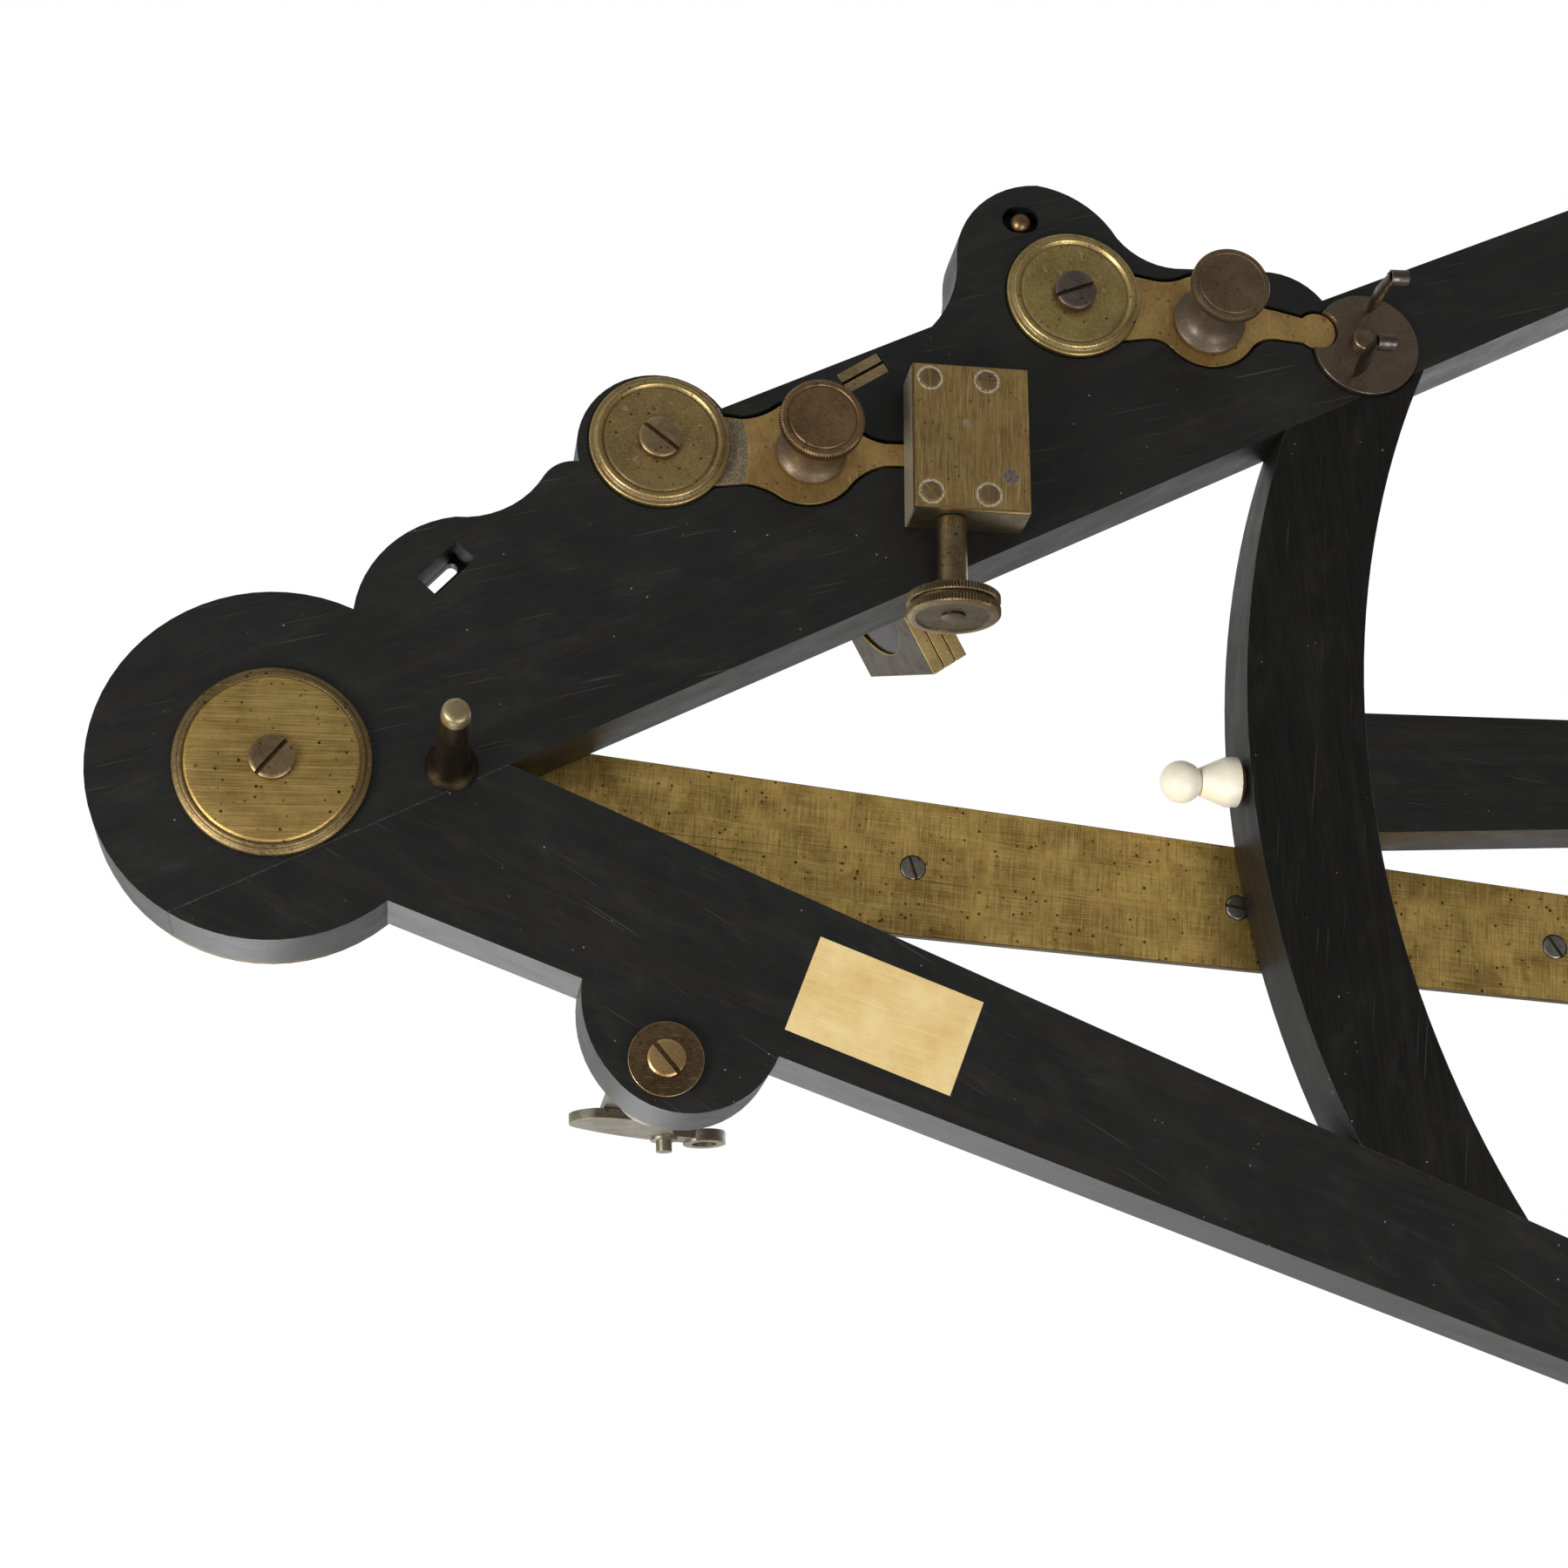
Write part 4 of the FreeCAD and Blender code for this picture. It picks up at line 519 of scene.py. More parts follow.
# the frames of the shades and the arm show their edge material on their whole side faces: bright brass on the
# shade frames, painted highlight, and dark brass on the arm, painted shade
for key in ("shade_frame_first", "shade_frame_second", "shade_frame_third", "index_arm"):
    faces = nodes[key].data.polygons
    facing = max(faces, key=lambda face: face.area).normal.copy()
    for face in faces:
        if abs(face.normal.dot(facing)) < 0.5:
            face.material_index = 1
for key in nodes:
    if key not in EBONY and not any(key in names for names in DRESS.values()):
        dress(key, BRASS, BRASS_EDGE, 0.2)


def piece(name, bm, material, body, stands_for, second=None, sharp=35.0, bevel=0.0):
    """Turn a bmesh in row-frame metres into an object that rides on a body and stands for CAD nodes."""
    bmesh.ops.recalc_face_normals(bm, faces=bm.faces[:])
    mesh = bpy.data.meshes.new(name)
    bm.to_mesh(mesh)
    bm.free()
    mesh.materials.append(material)
    if second is not None:
        mesh.materials.append(second)
    for polygon in mesh.polygons:
        polygon.use_smooth = True
    mesh.set_sharp_from_angle(angle=math.radians(sharp))
    thing = bpy.data.objects.new(name, mesh)
    bpy.context.scene.collection.objects.link(thing)
    if bevel:
        rounded = thing.modifiers.new("bevel", "BEVEL")
        rounded.width = bevel * MM
        rounded.segments = 2
        rounded.limit_method = "ANGLE"
        rounded.angle_limit = BEVEL_ANGLE
        if second is not None:
            rounded.material = 1
        normals = thing.modifiers.new("normals", "WEIGHTED_NORMAL")
        normals.keep_sharp = True
    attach(thing, body)
    if stands_for:
        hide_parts(*stands_for)


def axes(centre, axis=(0, 0, 1), angle=0.0):
    """Matrix whose z runs along an axis through a point of the plan, for meshes in millimetres."""
    z = Vector(axis).normalized()
    x = Vector((1, 0, 0)) if abs(z.x) < 0.9 else Vector((0, 1, 0))
    x = (x - z * x.dot(z)).normalized()
    y = z.cross(x)
    turned = Matrix.Rotation(math.radians(angle), 4, "Z")
    base = Matrix((x, y, z)).transposed().to_4x4()
    base.translation = plan(*centre)
    return base @ turned @ Matrix.Scale(MM, 4)


def turn(bm, profile, place, steps=96, index=0):
    """Lathe a profile of (radius, level, ridge) about the z axis of a matrix; a ridge mills the radius."""
    rings = []
    for radius, level, *ridges in profile:
        ridge = ridges[0] if ridges else 0.0
        if radius < 1e-6:
            rings.append([bm.verts.new(place @ Vector((0, 0, level)))])
            continue
        ring = []
        for step in range(steps):
            around = 2 * math.pi * step / steps
            here = radius + (ridge if step % 2 else -ridge) * 0.5
            point = Vector((here * math.cos(around), here * math.sin(around), level))
            ring.append(bm.verts.new(place @ point))
        rings.append(ring)
    for low, high in zip(rings, rings[1:]):
        for step in range(steps):
            nxt = (step + 1) % steps
            if len(low) == 1:
                face = bm.faces.new((low[0], high[step], high[nxt]))
            elif len(high) == 1:
                face = bm.faces.new((low[step], low[nxt], high[0]))
            else:
                face = bm.faces.new((low[step], low[nxt], high[nxt], high[step]))
            face.material_index = index


def join(bm):
    """Weld turned parts that share a circle."""
    bmesh.ops.remove_doubles(bm, verts=bm.verts[:], dist=WELD)


def prism(bm, outline, low, high, place):
    """A straight solid over an outline in millimetres, between two levels."""
    bottom = [bm.verts.new(place @ Vector((x, y, low))) for x, y in outline]
    top = [bm.verts.new(place @ Vector((x, y, high))) for x, y in outline]
    bm.faces.new(bottom)
    bm.faces.new(top)
    for step in range(len(outline)):
        nxt = (step + 1) % len(outline)
        bm.faces.new((bottom[step], bottom[nxt], top[nxt], top[step]))


HEAD_STEPS = 18


def slotted_head(bm, place, radius, low, top, slot, depth, crown):
    """A round screw head from low to top, slotted along x: a disc in the second material, two halves."""
    sign = 1.0 if top > low else -1.0
    floor_level = top - sign * depth
    start = math.asin(slot / radius)
    turn(bm, [(0.0, low), (radius, low), (radius, floor_level), (0.0, floor_level)], place, 48, 1)
    for side in (1, -1):
        rows = []
        for share, level in ((1.0, floor_level), (1.0, top - sign * crown), (0.93, top - sign * 0.3 * crown),
                             (0.82, top)):
            row = []
            for step in range(HEAD_STEPS + 1):
                around = start + (math.pi - 2 * start) * step / HEAD_STEPS
                x = radius * share * math.cos(around)
                y = max(slot, radius * share * math.sin(around))
                row.append(bm.verts.new(place @ Vector((x, side * y, level))))
            rows.append(row)
        for lower, upper in zip(rows, rows[1:]):
            for step in range(HEAD_STEPS + 1):
                nxt = (step + 1) % (HEAD_STEPS + 1)
                bm.faces.new((lower[step], lower[nxt], upper[nxt], upper[step]))
        bm.faces.new(rows[-1])
        bm.faces.new(rows[0])


# ---- discs and their screws on the back: levels are negative, away from the frame ----------------------
apex = bmesh.new()
turn(apex, [(17.3, -0.2), (19.3, -0.2), (19.6, -0.45), (19.6, -1.15), (19.35, -1.45), (18.75, -1.55),
            (18.5, -1.8), (18.3, -2.25), (17.95, -2.45), (17.6, -2.4), (17.45, -2.15), (17.3, -2.1)],
     axes(APEX), 160, 1)
turn(apex, [(17.3, -2.1), (17.2, -2.15), (17.05, -2.45), (16.7, -2.55), (12.0, -2.58), (5.0, -2.55),
            (2.0, -2.55), (2.0, -0.2), (17.3, -0.2)], axes(APEX), 160)
join(apex)
piece("apex_disc_turned", apex, APEX_BRASS, "index_arm", ("apex_disc",), APEX_RIM, sharp=50)

DISC_FACE = -2.4
for name, centre, material, dish in (("fore", FORE_DISC, FORE_BRASS, 0.55),
                                     ("back", BACK_DISC, BACK_BRASS, 0.85)):
    disc = bmesh.new()
    turn(disc, [(2.0, 0.15), (14.6, 0.15), (14.9, -0.1), (14.9, -0.95), (14.75, -1.22), (14.4, -1.34),
                (14.05, -1.26), (13.85, -1.36), (13.7, -1.85), (13.4, -2.24), (13.0, DISC_FACE),
                (12.6, -2.32), (12.3, -2.02), (12.15, -1.68), (12.0, -1.60), (11.85, -1.68),
                (11.6, DISC_FACE + 0.6 * dish), (9.5, DISC_FACE + 0.8 * dish), (7.0, DISC_FACE + dish),
                (2.0, DISC_FACE + dish), (2.0, 0.15)],
         axes(centre), 144)
    join(disc)
    piece(name + "_disc_turned", disc, material, name + "_mirror", (name + "_disc",), sharp=50)

# each head's slot floor and lower side take the second material, dark brass: painted shade in the slot
for name, material, centre, radius, low, top, angle, body in (
        ("apex_screw", SCREW_BROWN, APEX, 4.58, -2.45, -3.98, -50.0, "index_arm"),
        ("fore_disc_screw", SCREW_BROWN, FORE_DISC, 4.58, -1.75, -3.58, 40.0, "fore_mirror"),
        ("back_disc_screw", SCREW_PLUM, BACK_DISC, 4.58, -1.45, -3.58, -20.0, "back_mirror"),
        ("sight_vane_screw", VANE_SCREW, VANE_SCREW_SPOT, 3.78, -1.55, -2.88, 52.0, "frame")):
    head = bmesh.new()
    slotted_head(head, axes(centre, angle=angle), radius, low, top, slot=0.46, depth=0.85, crown=0.35)
    piece(name + "_head", head, material, body, (name,), BRASS_PAINTED_SHADE)

# ---- clamp knobs: a stud in the wood, a collar, a waisted neck and a head ------------------------------
MILLING = 0.36
FORE_KNOB_PROFILE = [
    (0.0, 11.0), (2.45, 11.0), (2.45, -0.12), (7.4, -0.12), (7.6, -0.35), (7.6, -0.95), (7.3, -1.35),
    (6.7, -1.8), (6.0, -2.6), (5.5, -3.8), (5.15, -5.5), (5.0, -8.0), (5.0, -10.5), (5.2, -12.2),
    (5.8, -13.2), (6.8, -13.5), (8.3, -13.52), (8.75, -13.85, MILLING), (8.75, -15.95, MILLING),
    (8.35, -16.4), (7.75, -16.5), (7.45, -16.5), (7.25, -16.28), (7.05, -16.28), (6.85, -16.5),
    (4.0, -16.46), (0.0, -16.44)]
BACK_KNOB_PROFILE = [
    (0.0, 11.0), (2.45, 11.0), (2.45, -0.12), (7.8, -0.12), (8.0, -0.35), (8.0, -1.05), (7.7, -1.4),
    (6.6, -1.9), (5.4, -3.0), (4.7, -4.6), (4.3, -6.8), (4.2, -9.5), (4.3, -12.0), (4.8, -13.8),
    (5.8, -14.75), (7.2, -15.0), (8.2, -15.05), (8.55, -15.3), (8.6, -15.7), (8.6, -16.8), (8.4, -17.2),
    (8.0, -17.38), (7.3, -17.4), (7.12, -17.28), (6.94, -17.4), (3.0, -17.38), (0.0, -17.36)]
for name, centre, material, profile, steps in (
        ("fore_knob", FORE_KNOB, KNOB_BRASS, FORE_KNOB_PROFILE, 176),
        ("back_knob", BACK_KNOB, BACK_KNOB_BRASS, BACK_KNOB_PROFILE, 128)):
    knob = bmesh.new()
    turn(knob, profile, axes(centre), steps)
    piece(name + "_turned", knob, material, name, (name,), sharp=32)

# ---- worm box cover with its slotted screws ------------------------------------------------------------
COVER_WIDE, COVER_TALL = 12.45, 16.55
place = axes(BOX, angle=BOX_TURN)
cover = bmesh.new()
prism(cover, [(-COVER_WIDE, -COVER_TALL), (COVER_WIDE, -COVER_TALL), (COVER_WIDE, COVER_TALL),
              (-COVER_WIDE, COVER_TALL)], -9.62, -11.05, place)
piece("worm_box_cover_plate", cover, COVER_BRASS, "frame", ("worm_box_cover",), BRASS_PAINTED_SHADE,
      bevel=0.25)
screws = bmesh.new()
for x, y, angle in COVER_SCREWS:
    here = place @ Matrix.Translation((x, y, 0)) @ Matrix.Rotation(math.radians(angle), 4, "Z")
    slotted_head(screws, here, 2.15, -10.9, -11.32, slot=0.27, depth=0.38, crown=0.12)
piece("worm_box_screw_heads", screws, SCREW_BROWN, "frame", ("worm_box_screws",), BRASS_PAINTED_SHADE)

# ---- tangent screw with its milled double head; its inner face is dark brass, painted shade ------------
WORM_MILLING = 0.34
along = (-math.sin(math.radians(BOX_TURN)), math.cos(math.radians(BOX_TURN)), 0.0)
place = axes((*box_point(-3.5, 0.0), -5.5), along)
worm = bmesh.new()
turn(worm, [(0.0, -13.0), (1.9, -13.0), (1.9, 16.7), (3.1, 16.9), (3.2, 17.6), (3.12, 20.0), (3.1, 32.6),
            (3.7, 33.3), (5.2, 33.9), (8.9, 34.0), (9.5, 34.25), (9.7, 34.5, WORM_MILLING),
            (9.7, 35.8, WORM_MILLING), (9.45, 36.05), (8.95, 36.2), (8.95, 36.7), (9.45, 36.85),
            (9.7, 37.1, WORM_MILLING), (9.7, 38.45, WORM_MILLING), (9.45, 38.75), (8.6, 39.0),
            (7.9, 38.95)],
     place, 176)
turn(worm, [(7.9, 38.95), (7.5, 38.6), (5.0, 38.45), (2.5, 38.45), (2.5, 38.85), (2.2, 39.0), (0.0, 39.0)],
     place, 176, 1)
join(worm)
piece("tangent_screw_turned", worm, WORM_BRASS, "tangent_screw", ("tangent_screw",), WORM_FACE_PAINTED_SHADE,
      sharp=32)

# ---- winged adjuster -----------------------------------------------------------------------------------
RIM_STEPS = 72
MOUTH_STEPS = 30


def notched_disc(radius, notch, tip):
    """Outline of a disc with a round mouth about a point near its rim, both in millimetres."""
    reach = math.hypot(*tip)
    heading = math.atan2(tip[1], tip[0])
    cosine = (reach ** 2 + radius ** 2 - notch ** 2) / (2 * reach * radius)
    half = math.acos(cosine)
    outline = []
    for step in range(RIM_STEPS + 1):
        around = heading + half + (2 * math.pi - 2 * half) * step / RIM_STEPS
        outline.append((radius * math.cos(around), radius * math.sin(around)))
    last, first = outline[-1], outline[0]
    start = math.atan2(last[1] - tip[1], last[0] - tip[0])
    end = math.atan2(first[1] - tip[1], first[0] - tip[0])
    inward = heading + math.pi
    sweep = (end - start) % (2 * math.pi)
    middle_angle = start + sweep / 2
    if math.cos(middle_angle - inward) < 0:
        sweep -= 2 * math.pi
    for step in range(1, MOUTH_STEPS):
        around = start + sweep * step / MOUTH_STEPS
        outline.append((tip[0] + notch * math.cos(around), tip[1] + notch * math.sin(around)))
    return outline


BLADE_SECTION = ((-1, 0), (-0.6, -0.75), (0, -1), (0.6, -0.75), (1, 0), (0.6, 0.75), (0, 1), (-0.6, 0.75))
BLADE_ROWS = ((0.0, 0.15, 0.40), (0.12, 0.45, 1.2), (0.3, 0.85, 1.9), (0.5, 1.0, 2.2), (0.7, 0.85, 2.0),
              (0.88, 0.60, 1.6), (1.0, 0.40, 1.2))
BLADE_LOW = -1.1
BLADE_HEIGHT = 14.2
CURL_LEVEL = -15.2
CURL_RADIUS = 2.0
CURL_THICK = 0.42
CURL_REACH = (-0.2, 3.6)
CURL_STEPS = 26
CURL_ROUND_STEPS = 15


def blade(bm, place, foot, top):
    """A leaf from foot to top, both (x, y); BLADE_ROWS gives (share of the height, half x, half y)."""
    rows = []
    for share, half_x, half_y in BLADE_ROWS:
        x = foot[0] + (top[0] - foot[0]) * share
        y = foot[1] + (top[1] - foot[1]) * share
        z = BLADE_LOW - BLADE_HEIGHT * share
        section = [Vector((x + half_x * dx, y + half_y * dy, z)) for dx, dy in BLADE_SECTION]
        rows.append([bm.verts.new(place @ point) for point in section])
    for low_row, high_row in zip(rows, rows[1:]):
        for step in range(len(BLADE_SECTION)):
            nxt = (step + 1) % len(BLADE_SECTION)
            bm.faces.new((low_row[step], low_row[nxt], high_row[nxt], high_row[step]))
    bm.faces.new(rows[0])
    bm.faces.new(rows[-1])


def curl(bm, place, top):
    """The rolled end of a wing: a strip about an axis along x, which tightens after its round part."""
    inner = []
    outer = []
    for step in range(CURL_STEPS + 1):
        around = math.radians(-60 + 400 * step / CURL_STEPS)
        tight = max(0.0, (step - CURL_ROUND_STEPS) / (CURL_STEPS - CURL_ROUND_STEPS))
        radius = CURL_RADIUS - 0.95 * tight
        for store, here in ((outer, radius), (inner, radius - CURL_THICK)):
            y = top[1] + here * math.sin(around)
            z = CURL_LEVEL + here * math.cos(around)
            store.append([bm.verts.new(place @ Vector((top[0] + reach, y, z))) for reach in CURL_REACH])
    for first, second in zip(range(CURL_STEPS), range(1, CURL_STEPS + 1)):
        for store in (outer, inner):
            bm.faces.new((store[first][0], store[first][1], store[second][1], store[second][0]))
        for side in (0, 1):
            bm.faces.new((outer[first][side], outer[second][side], inner[second][side], inner[first][side]))
    for end in (0, CURL_STEPS):
        bm.faces.new((outer[end][0], outer[end][1], inner[end][1], inner[end][0]))


place = axes(WING)
wing = bmesh.new()
prism(wing, notched_disc(12.1, 4.62, (-10.6, -3.5)), 2.2, -1.2, place)
piece("winged_disc", wing, WING_BRASS, "winged_adjuster", ("winged_adjuster",), WING_STEEL,
      bevel=0.22)
hub = bmesh.new()
turn(hub, [(0.0, 11.0), (2.55, 11.0), (2.55, 2.0), (2.7, 0.0), (2.9, -1.1), (2.75, -1.9), (2.6, -2.9),
           (2.3, -3.2), (1.6, -3.15), (1.3, -2.95), (0.0, -2.95)],
     place @ Matrix.Translation((-0.8, -0.4, 0)), 48)
piece("winged_hub", hub, WING_BRASS, "winged_adjuster", ())
ears = bmesh.new()
for foot, top in (((1.0, -7.9), (1.6, -9.0)), ((-3.8, 7.9), (-3.1, 6.7))):
    blade(ears, place, foot, top)
    curl(ears, place, top)
piece("winged_ears", ears, WING_STEEL, "winged_adjuster", (), sharp=50)

# ---- glue lines: between the limbs on the back, and in the wall of the arm's hollow --------------------
seam = bmesh.new()
start = Vector((46.8, 0.0))
end = Vector((-19.34, 30.84))
across = Vector((0.4226, 0.9063)) * 0.11
prism(seam, [start - across, end - across, end + across, start + across], 0.1, -0.015, axes(APEX))
wall = [polar(36.1, 121.8), polar(36.1, 122.3), polar(36.43, 122.3), polar(36.43, 121.8)]
prism(seam, wall, 0.4, 16.1, axes(APEX))
piece("glue_line", seam, INK, "frame", ())

# ---- feet ----------------------------------------------------------------------------------------------
FOOT_JOINT = -29.6
FOOT_PROFILE = [
    (0.0, 8.9), (1.95, 8.9), (1.95, 0.0), (5.2, -0.02), (5.35, -0.35), (5.2, -0.8), (4.6, -1.5),
    (4.0, -2.6), (3.65, -4.2), (3.45, -7.0), (3.35, -12.0), (3.2, -20.0), (3.0, -27.5), (2.9, FOOT_JOINT),
    (0.0, FOOT_JOINT)]
TIP_PROFILE = [(0.0, FOOT_JOINT), (2.9, FOOT_JOINT), (2.86, -30.8), (2.75, -31.8), (2.5, -32.5),
               (2.05, -32.85), (1.2, -32.98), (0.0, -33.0)]
ARC_FEET = [polar(330, 23.3), polar(330, -23.3)]
for name, places in (("foot_apex", [APEX_FOOT]), ("arc_feet", ARC_FEET)):
    standing = bmesh.new()
    tips = bmesh.new()
    for centre in places:
        turn(standing, FOOT_PROFILE, axes(centre), 64)
        turn(tips, TIP_PROFILE, axes(centre), 64)
    piece(name + "_turned", standing, FOOT_BRASS, "frame", (name,))
    piece(name + "_tips", tips, FOOT_TIP, "frame", ())

# ---- index arm screws ----------------------------------------------------------------------------------
FIRST_ARM_SCREW = 62.3
ARM_SCREW_STEP = 69.9
screws = bmesh.new()
for row, angle in enumerate((40.0, 75.0, 12.0, 60.0)):
    here = axes(polar(FIRST_ARM_SCREW + ARM_SCREW_STEP * row, ARM_ANGLE), angle=angle)
    slotted_head(screws, here, 2.55, 17.75, 16.85, slot=0.32, depth=0.5, crown=0.2)
piece("arm_screw_heads", screws, STEEL, "index_arm", ("arm_screws",), BRASS_PAINTED_SHADE)


# ---- graduations and generic numbers -------------------------------------------------------------------
SCALE_LEVEL = 16.53
VERNIER_LEVEL = 18.43
LINE_DEPTH = 0.1
FIGURE_HALF = 0.05
LINE_FOOT = 361.8
THIRD_END, DEGREE_END, FIVE_END = 363.2, 364.6, 367.0
BORDERS = (LINE_FOOT, THIRD_END, 367.6, 377.2)
BORDER_START, BORDER_STEP, BORDER_CHORD = -22.75, 0.5, 0.52
FIGURE_RADIUS = 372.4
VERNIER_STEP = 0.115


def mark(bm, inner, outer, degrees, half_width, level):
    """One filled line of the scale, let into the ivory and standing a hair above it."""
    corners = [(inner, -half_width), (outer, -half_width), (outer, half_width), (inner, half_width)]
    prism(bm, corners, level - LINE_DEPTH, level, axes(APEX, angle=degrees))


def number(text, radius, degrees, height, level, body, name):
    """A generic scale number with its head towards the pivot."""
    curve = bpy.data.curves.new(name, "FONT")
    curve.body = text
    curve.size = height * MM
    curve.align_x = "CENTER"
    curve.align_y = "CENTER"
    curve.extrude = FIGURE_HALF * MM
    holder = bpy.data.objects.new(name + "_text", curve)
    bpy.context.scene.collection.objects.link(holder)
    bpy.context.view_layer.update()
    mesh = bpy.data.meshes.new_from_object(holder)
    bpy.data.objects.remove(holder)
    solid = bmesh.new()
    solid.from_mesh(mesh)
    join(solid)
    solid.to_mesh(mesh)
    solid.free()
    heading = math.radians(degrees)
    shift = Matrix.Translation(plan(*polar(radius, degrees), level - FIGURE_HALF))
    mesh.transform(shift @ Matrix.Rotation(heading + math.pi / 2, 4, "Z"))
    mesh.materials.clear()
    mesh.materials.append(INK)
    thing = bpy.data.objects.new(name, mesh)
    bpy.context.scene.collection.objects.link(thing)
    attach(thing, body)


scale = bmesh.new()
for third in range(271):
    degrees = (-45 + third / 3.0) * 0.5
    outer = FIVE_END if third % 15 == 0 else DEGREE_END if third % 3 == 0 else THIRD_END
    mark(scale, LINE_FOOT, outer, degrees, 0.09, SCALE_LEVEL)
for radius in BORDERS:
    for step in range(92):
        half_chord = 0.5 * math.radians(BORDER_CHORD) * radius
        mark(scale, radius - 0.06, radius + 0.06, BORDER_START + BORDER_STEP * step, half_chord, SCALE_LEVEL)
piece("arc_scale_lines", scale, INK, "frame", ())
for tens in range(10):
    number(str(10 * tens), FIGURE_RADIUS, (45 - 10 * tens) * 0.5, 6.2, SCALE_LEVEL, "frame",
           "arc_number_%d" % tens)
lines = bmesh.new()
for step in range(-20, 21):
    inner = 358.6 if step % 5 == 0 else 360.0
    mark(lines, inner, 362.3, ARM_ANGLE + step * VERNIER_STEP, 0.08, VERNIER_LEVEL)
piece("vernier_lines", lines, INK, "index_arm", ())


# ---- floor, light and camera ---------------------------------------------------------------------------
FLOOR_HALF = 6
GLOW_START, GLOW_END = 0.6, 3.2


def floor():
    """A pale floor that glows towards its far edge and is clear from below, where the camera looks up."""
    mesh = bpy.data.meshes.new("floor")
    corners = [(x * FLOOR_HALF, y * FLOOR_HALF, 0) for x, y in ((-1, -1), (1, -1), (1, 1), (-1, 1))]
    mesh.from_pydata(corners, [], [(0, 1, 2, 3)])
    plane = bpy.data.objects.new("floor", mesh)
    bpy.context.scene.collection.objects.link(plane)
    s = Shader("floor_pale")
    cloud = s.noise(s.place(), 0.004, 3.0, 0.5)
    s.finish(s.mix(cloud, (0.80, 0.80, 0.80), (0.86, 0.86, 0.86)), s.fit(cloud, 0.3, 0.7, 0.75, 0.85))
    away = s.add("ShaderNodeVectorMath", operation="LENGTH")
    s.put(away.inputs[0], s.place((0.001, 0.001, 0.001)))
    s.bsdf.inputs["Emission Color"].default_value = (1, 1, 1, 1)
    s.put(s.bsdf.inputs["Emission Strength"], s.fit(away.outputs["Value"], GLOW_START, GLOW_END, 0.0, 0.75))
    clear = s.add("ShaderNodeBsdfTransparent")
    side = s.add("ShaderNodeNewGeometry").outputs["Backfacing"]
    both = s.add("ShaderNodeMixShader")
    s.put(both.inputs[0], side)
    s.put(both.inputs[1], s.bsdf.outputs[0])
    s.put(both.inputs[2], clear.outputs[0])
    s.put(s.nodes["Material Output"].inputs["Surface"], both.outputs[0])
    mesh.materials.append(s.material)
    plane.location.z = -0.0002
    plane.visible_shadow = False
    plane.visible_glossy = False
    plane.visible_diffuse = False
    plane.visible_transmission = False


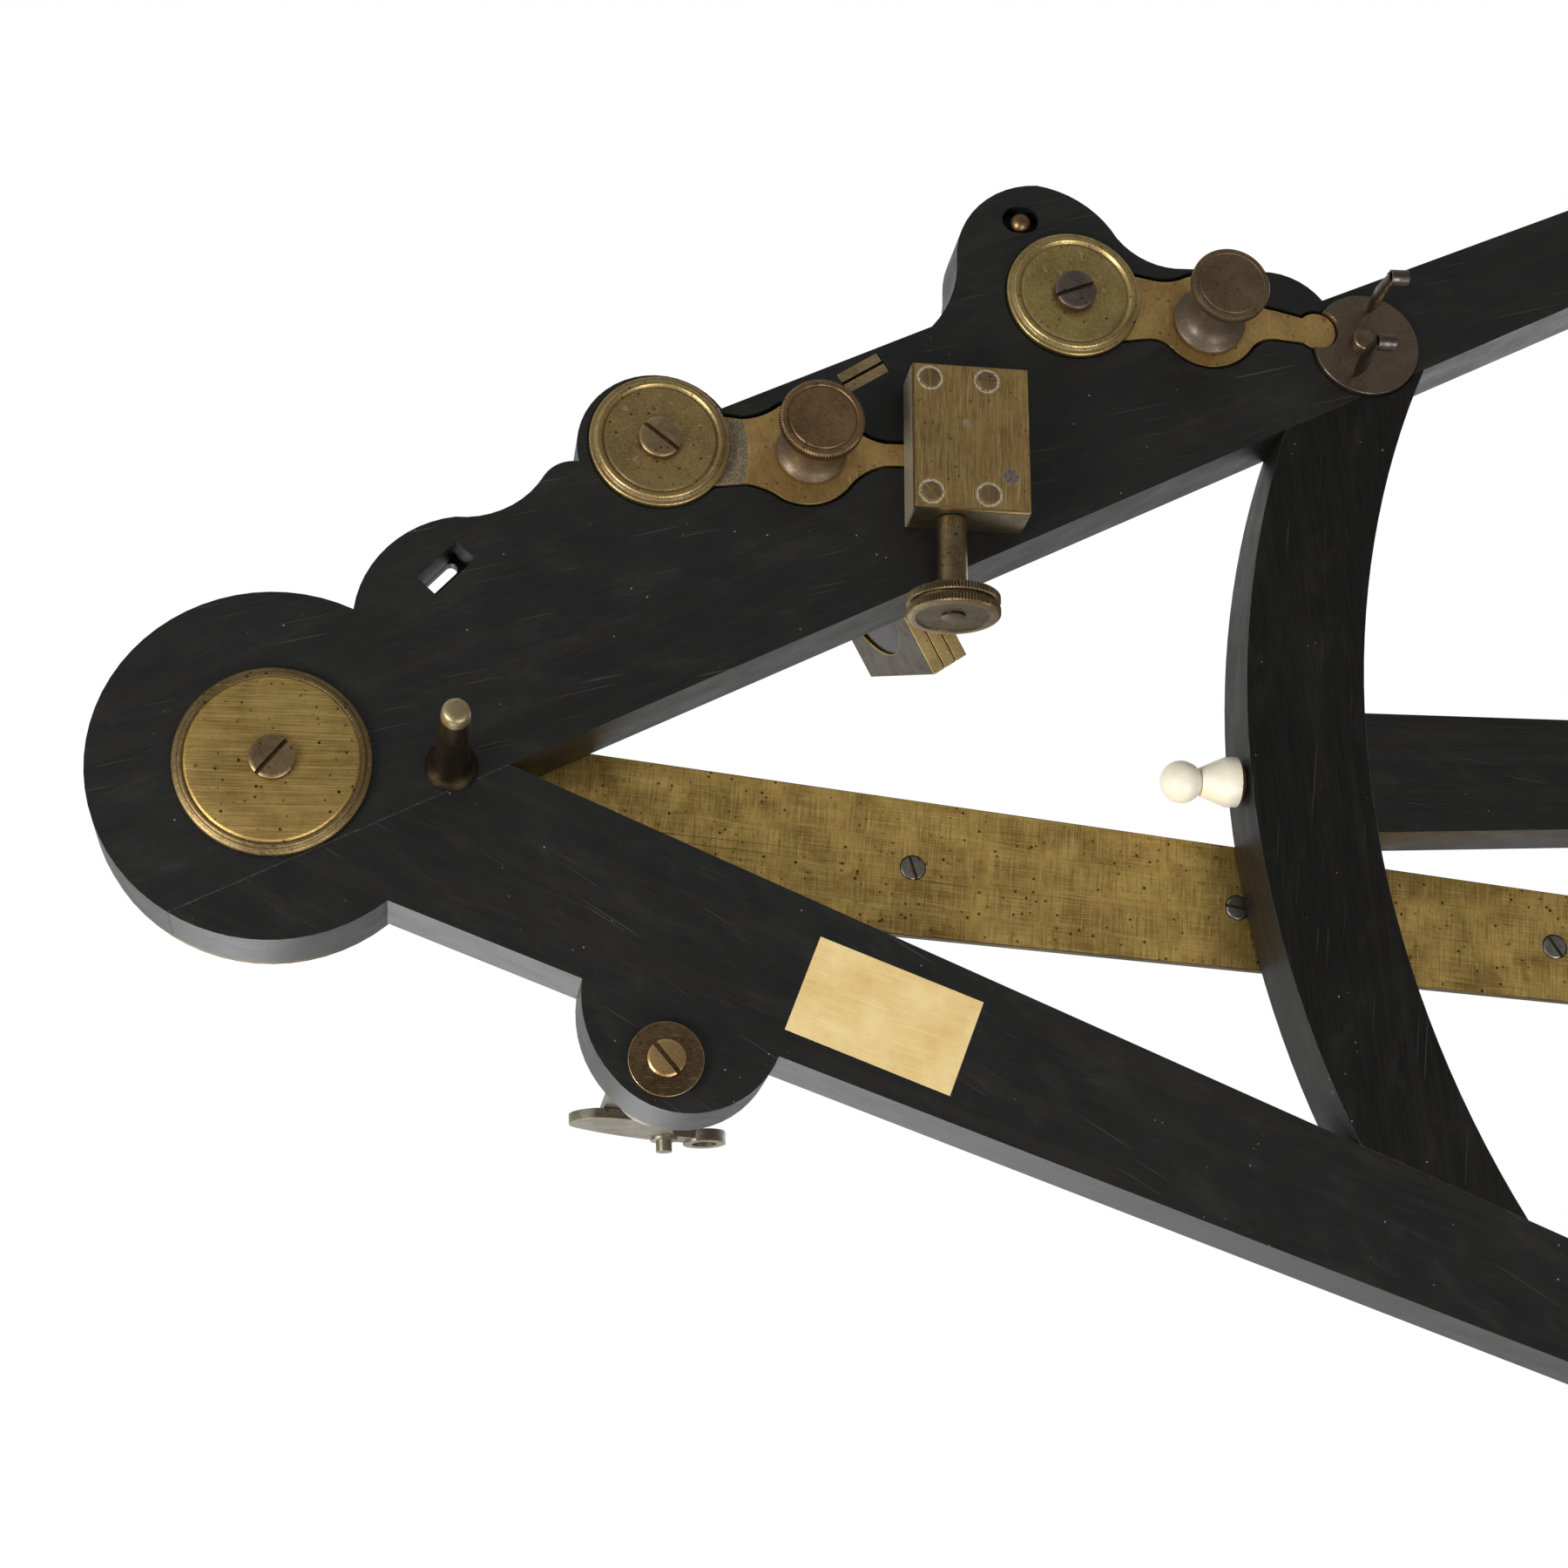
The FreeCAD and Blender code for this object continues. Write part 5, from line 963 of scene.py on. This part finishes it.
def world():
    """White for the camera; for the surfaces a grey sky, darker from below and from +X."""
    scene_world = bpy.data.worlds.new("studio")
    bpy.context.scene.world = scene_world
    scene_world.use_nodes = True
    tree = scene_world.node_tree
    tree.nodes.clear()
    output = tree.nodes.new("ShaderNodeOutputWorld")
    soft = tree.nodes.new("ShaderNodeBackground")
    plain = tree.nodes.new("ShaderNodeBackground")
    plain.inputs["Color"].default_value = (1, 1, 1, 1)
    plain.inputs["Strength"].default_value = 1.0
    direction = tree.nodes.new("ShaderNodeTexCoord")
    split = tree.nodes.new("ShaderNodeSeparateXYZ")
    tree.links.new(direction.outputs["Generated"], split.inputs[0])
    ramp = tree.nodes.new("ShaderNodeValToRGB")
    span = tree.nodes.new("ShaderNodeMapRange")
    span.inputs["From Min"].default_value = -1.0
    span.inputs["From Max"].default_value = 1.0
    tree.links.new(split.outputs["Z"], span.inputs["Value"])
    tree.links.new(span.outputs[0], ramp.inputs["Fac"])
    ramp.color_ramp.elements[0].position = 0.05
    ramp.color_ramp.elements[0].color = (0.33, 0.33, 0.335, 1)
    ramp.color_ramp.elements[1].position = 0.40
    ramp.color_ramp.elements[1].color = (0.60, 0.60, 0.60, 1)
    last = ramp.color_ramp.elements.new(0.8)
    last.color = (0.80, 0.80, 0.80, 1)
    tree.links.new(ramp.outputs["Color"], soft.inputs["Color"])
    side = tree.nodes.new("ShaderNodeMapRange")
    for key, amount in (("From Min", -0.8), ("From Max", 0.6), ("To Min", 1.05), ("To Max", 0.72)):
        side.inputs[key].default_value = amount
    tree.links.new(split.outputs["X"], side.inputs["Value"])
    tree.links.new(side.outputs[0], soft.inputs["Strength"])
    path = tree.nodes.new("ShaderNodeLightPath")
    both = tree.nodes.new("ShaderNodeMixShader")
    tree.links.new(path.outputs["Is Camera Ray"], both.inputs[0])
    tree.links.new(soft.outputs[0], both.inputs[1])
    tree.links.new(plain.outputs[0], both.inputs[2])
    tree.links.new(both.outputs[0], output.inputs["Surface"])


def lamp(name, place, aim, power, size):
    data = bpy.data.lights.new(name, "AREA")
    data.shape = "DISK"
    data.size = size
    data.energy = power
    thing = bpy.data.objects.new(name, data)
    bpy.context.scene.collection.objects.link(thing)
    thing.location = place
    direction = Vector(aim) - Vector(place)
    thing.rotation_euler = direction.to_track_quat("-Z", "Y").to_euler()
    thing.visible_camera = False


CAMERA_LENS = 63.55
CAMERA_PLACE = (21.1, 180.3, -526.2)
CAMERA_RIGHT = (0.98948, 0.03801, -0.13961)
CAMERA_FORWARD = (0.14445, -0.31491, 0.93806)


def camera():
    """The photograph's camera, fitted to the outline and the fittings; its place is in millimetres."""
    data = bpy.data.cameras.new("camera")
    data.lens = CAMERA_LENS
    data.sensor_width = 36.0
    data.clip_start = 0.01
    data.clip_end = 50.0
    thing = bpy.data.objects.new("camera", data)
    bpy.context.scene.collection.objects.link(thing)
    forward = Vector(CAMERA_FORWARD).normalized()
    right = Vector(CAMERA_RIGHT)
    right = (right - forward * right.dot(forward)).normalized()
    up = right.cross(forward)
    matrix = Matrix((right, up, -forward)).transposed().to_4x4()
    matrix.translation = plan(*CAMERA_PLACE)
    thing.matrix_world = matrix
    bpy.context.scene.camera = thing


floor()
world()
lamp("key_under", (-1.05, 0.50, -0.62), (-0.02, 0, 0.04), power=14.5, size=0.55)
lamp("fill_under", (0.45, 1.05, -0.65), (0.0, 0, 0.04), power=9.0, size=0.8)
lamp("key_over", (-0.5, 0.8, 1.0), (0.0, 0, 0.05), power=8.5, size=0.9)
lamp("fill_over", (0.8, -0.6, 0.9), (0.0, 0, 0.05), power=5.0, size=1.0)
camera()

scene_view = bpy.context.scene.view_settings
scene_view.view_transform = "Standard"
scene_view.look = "None"
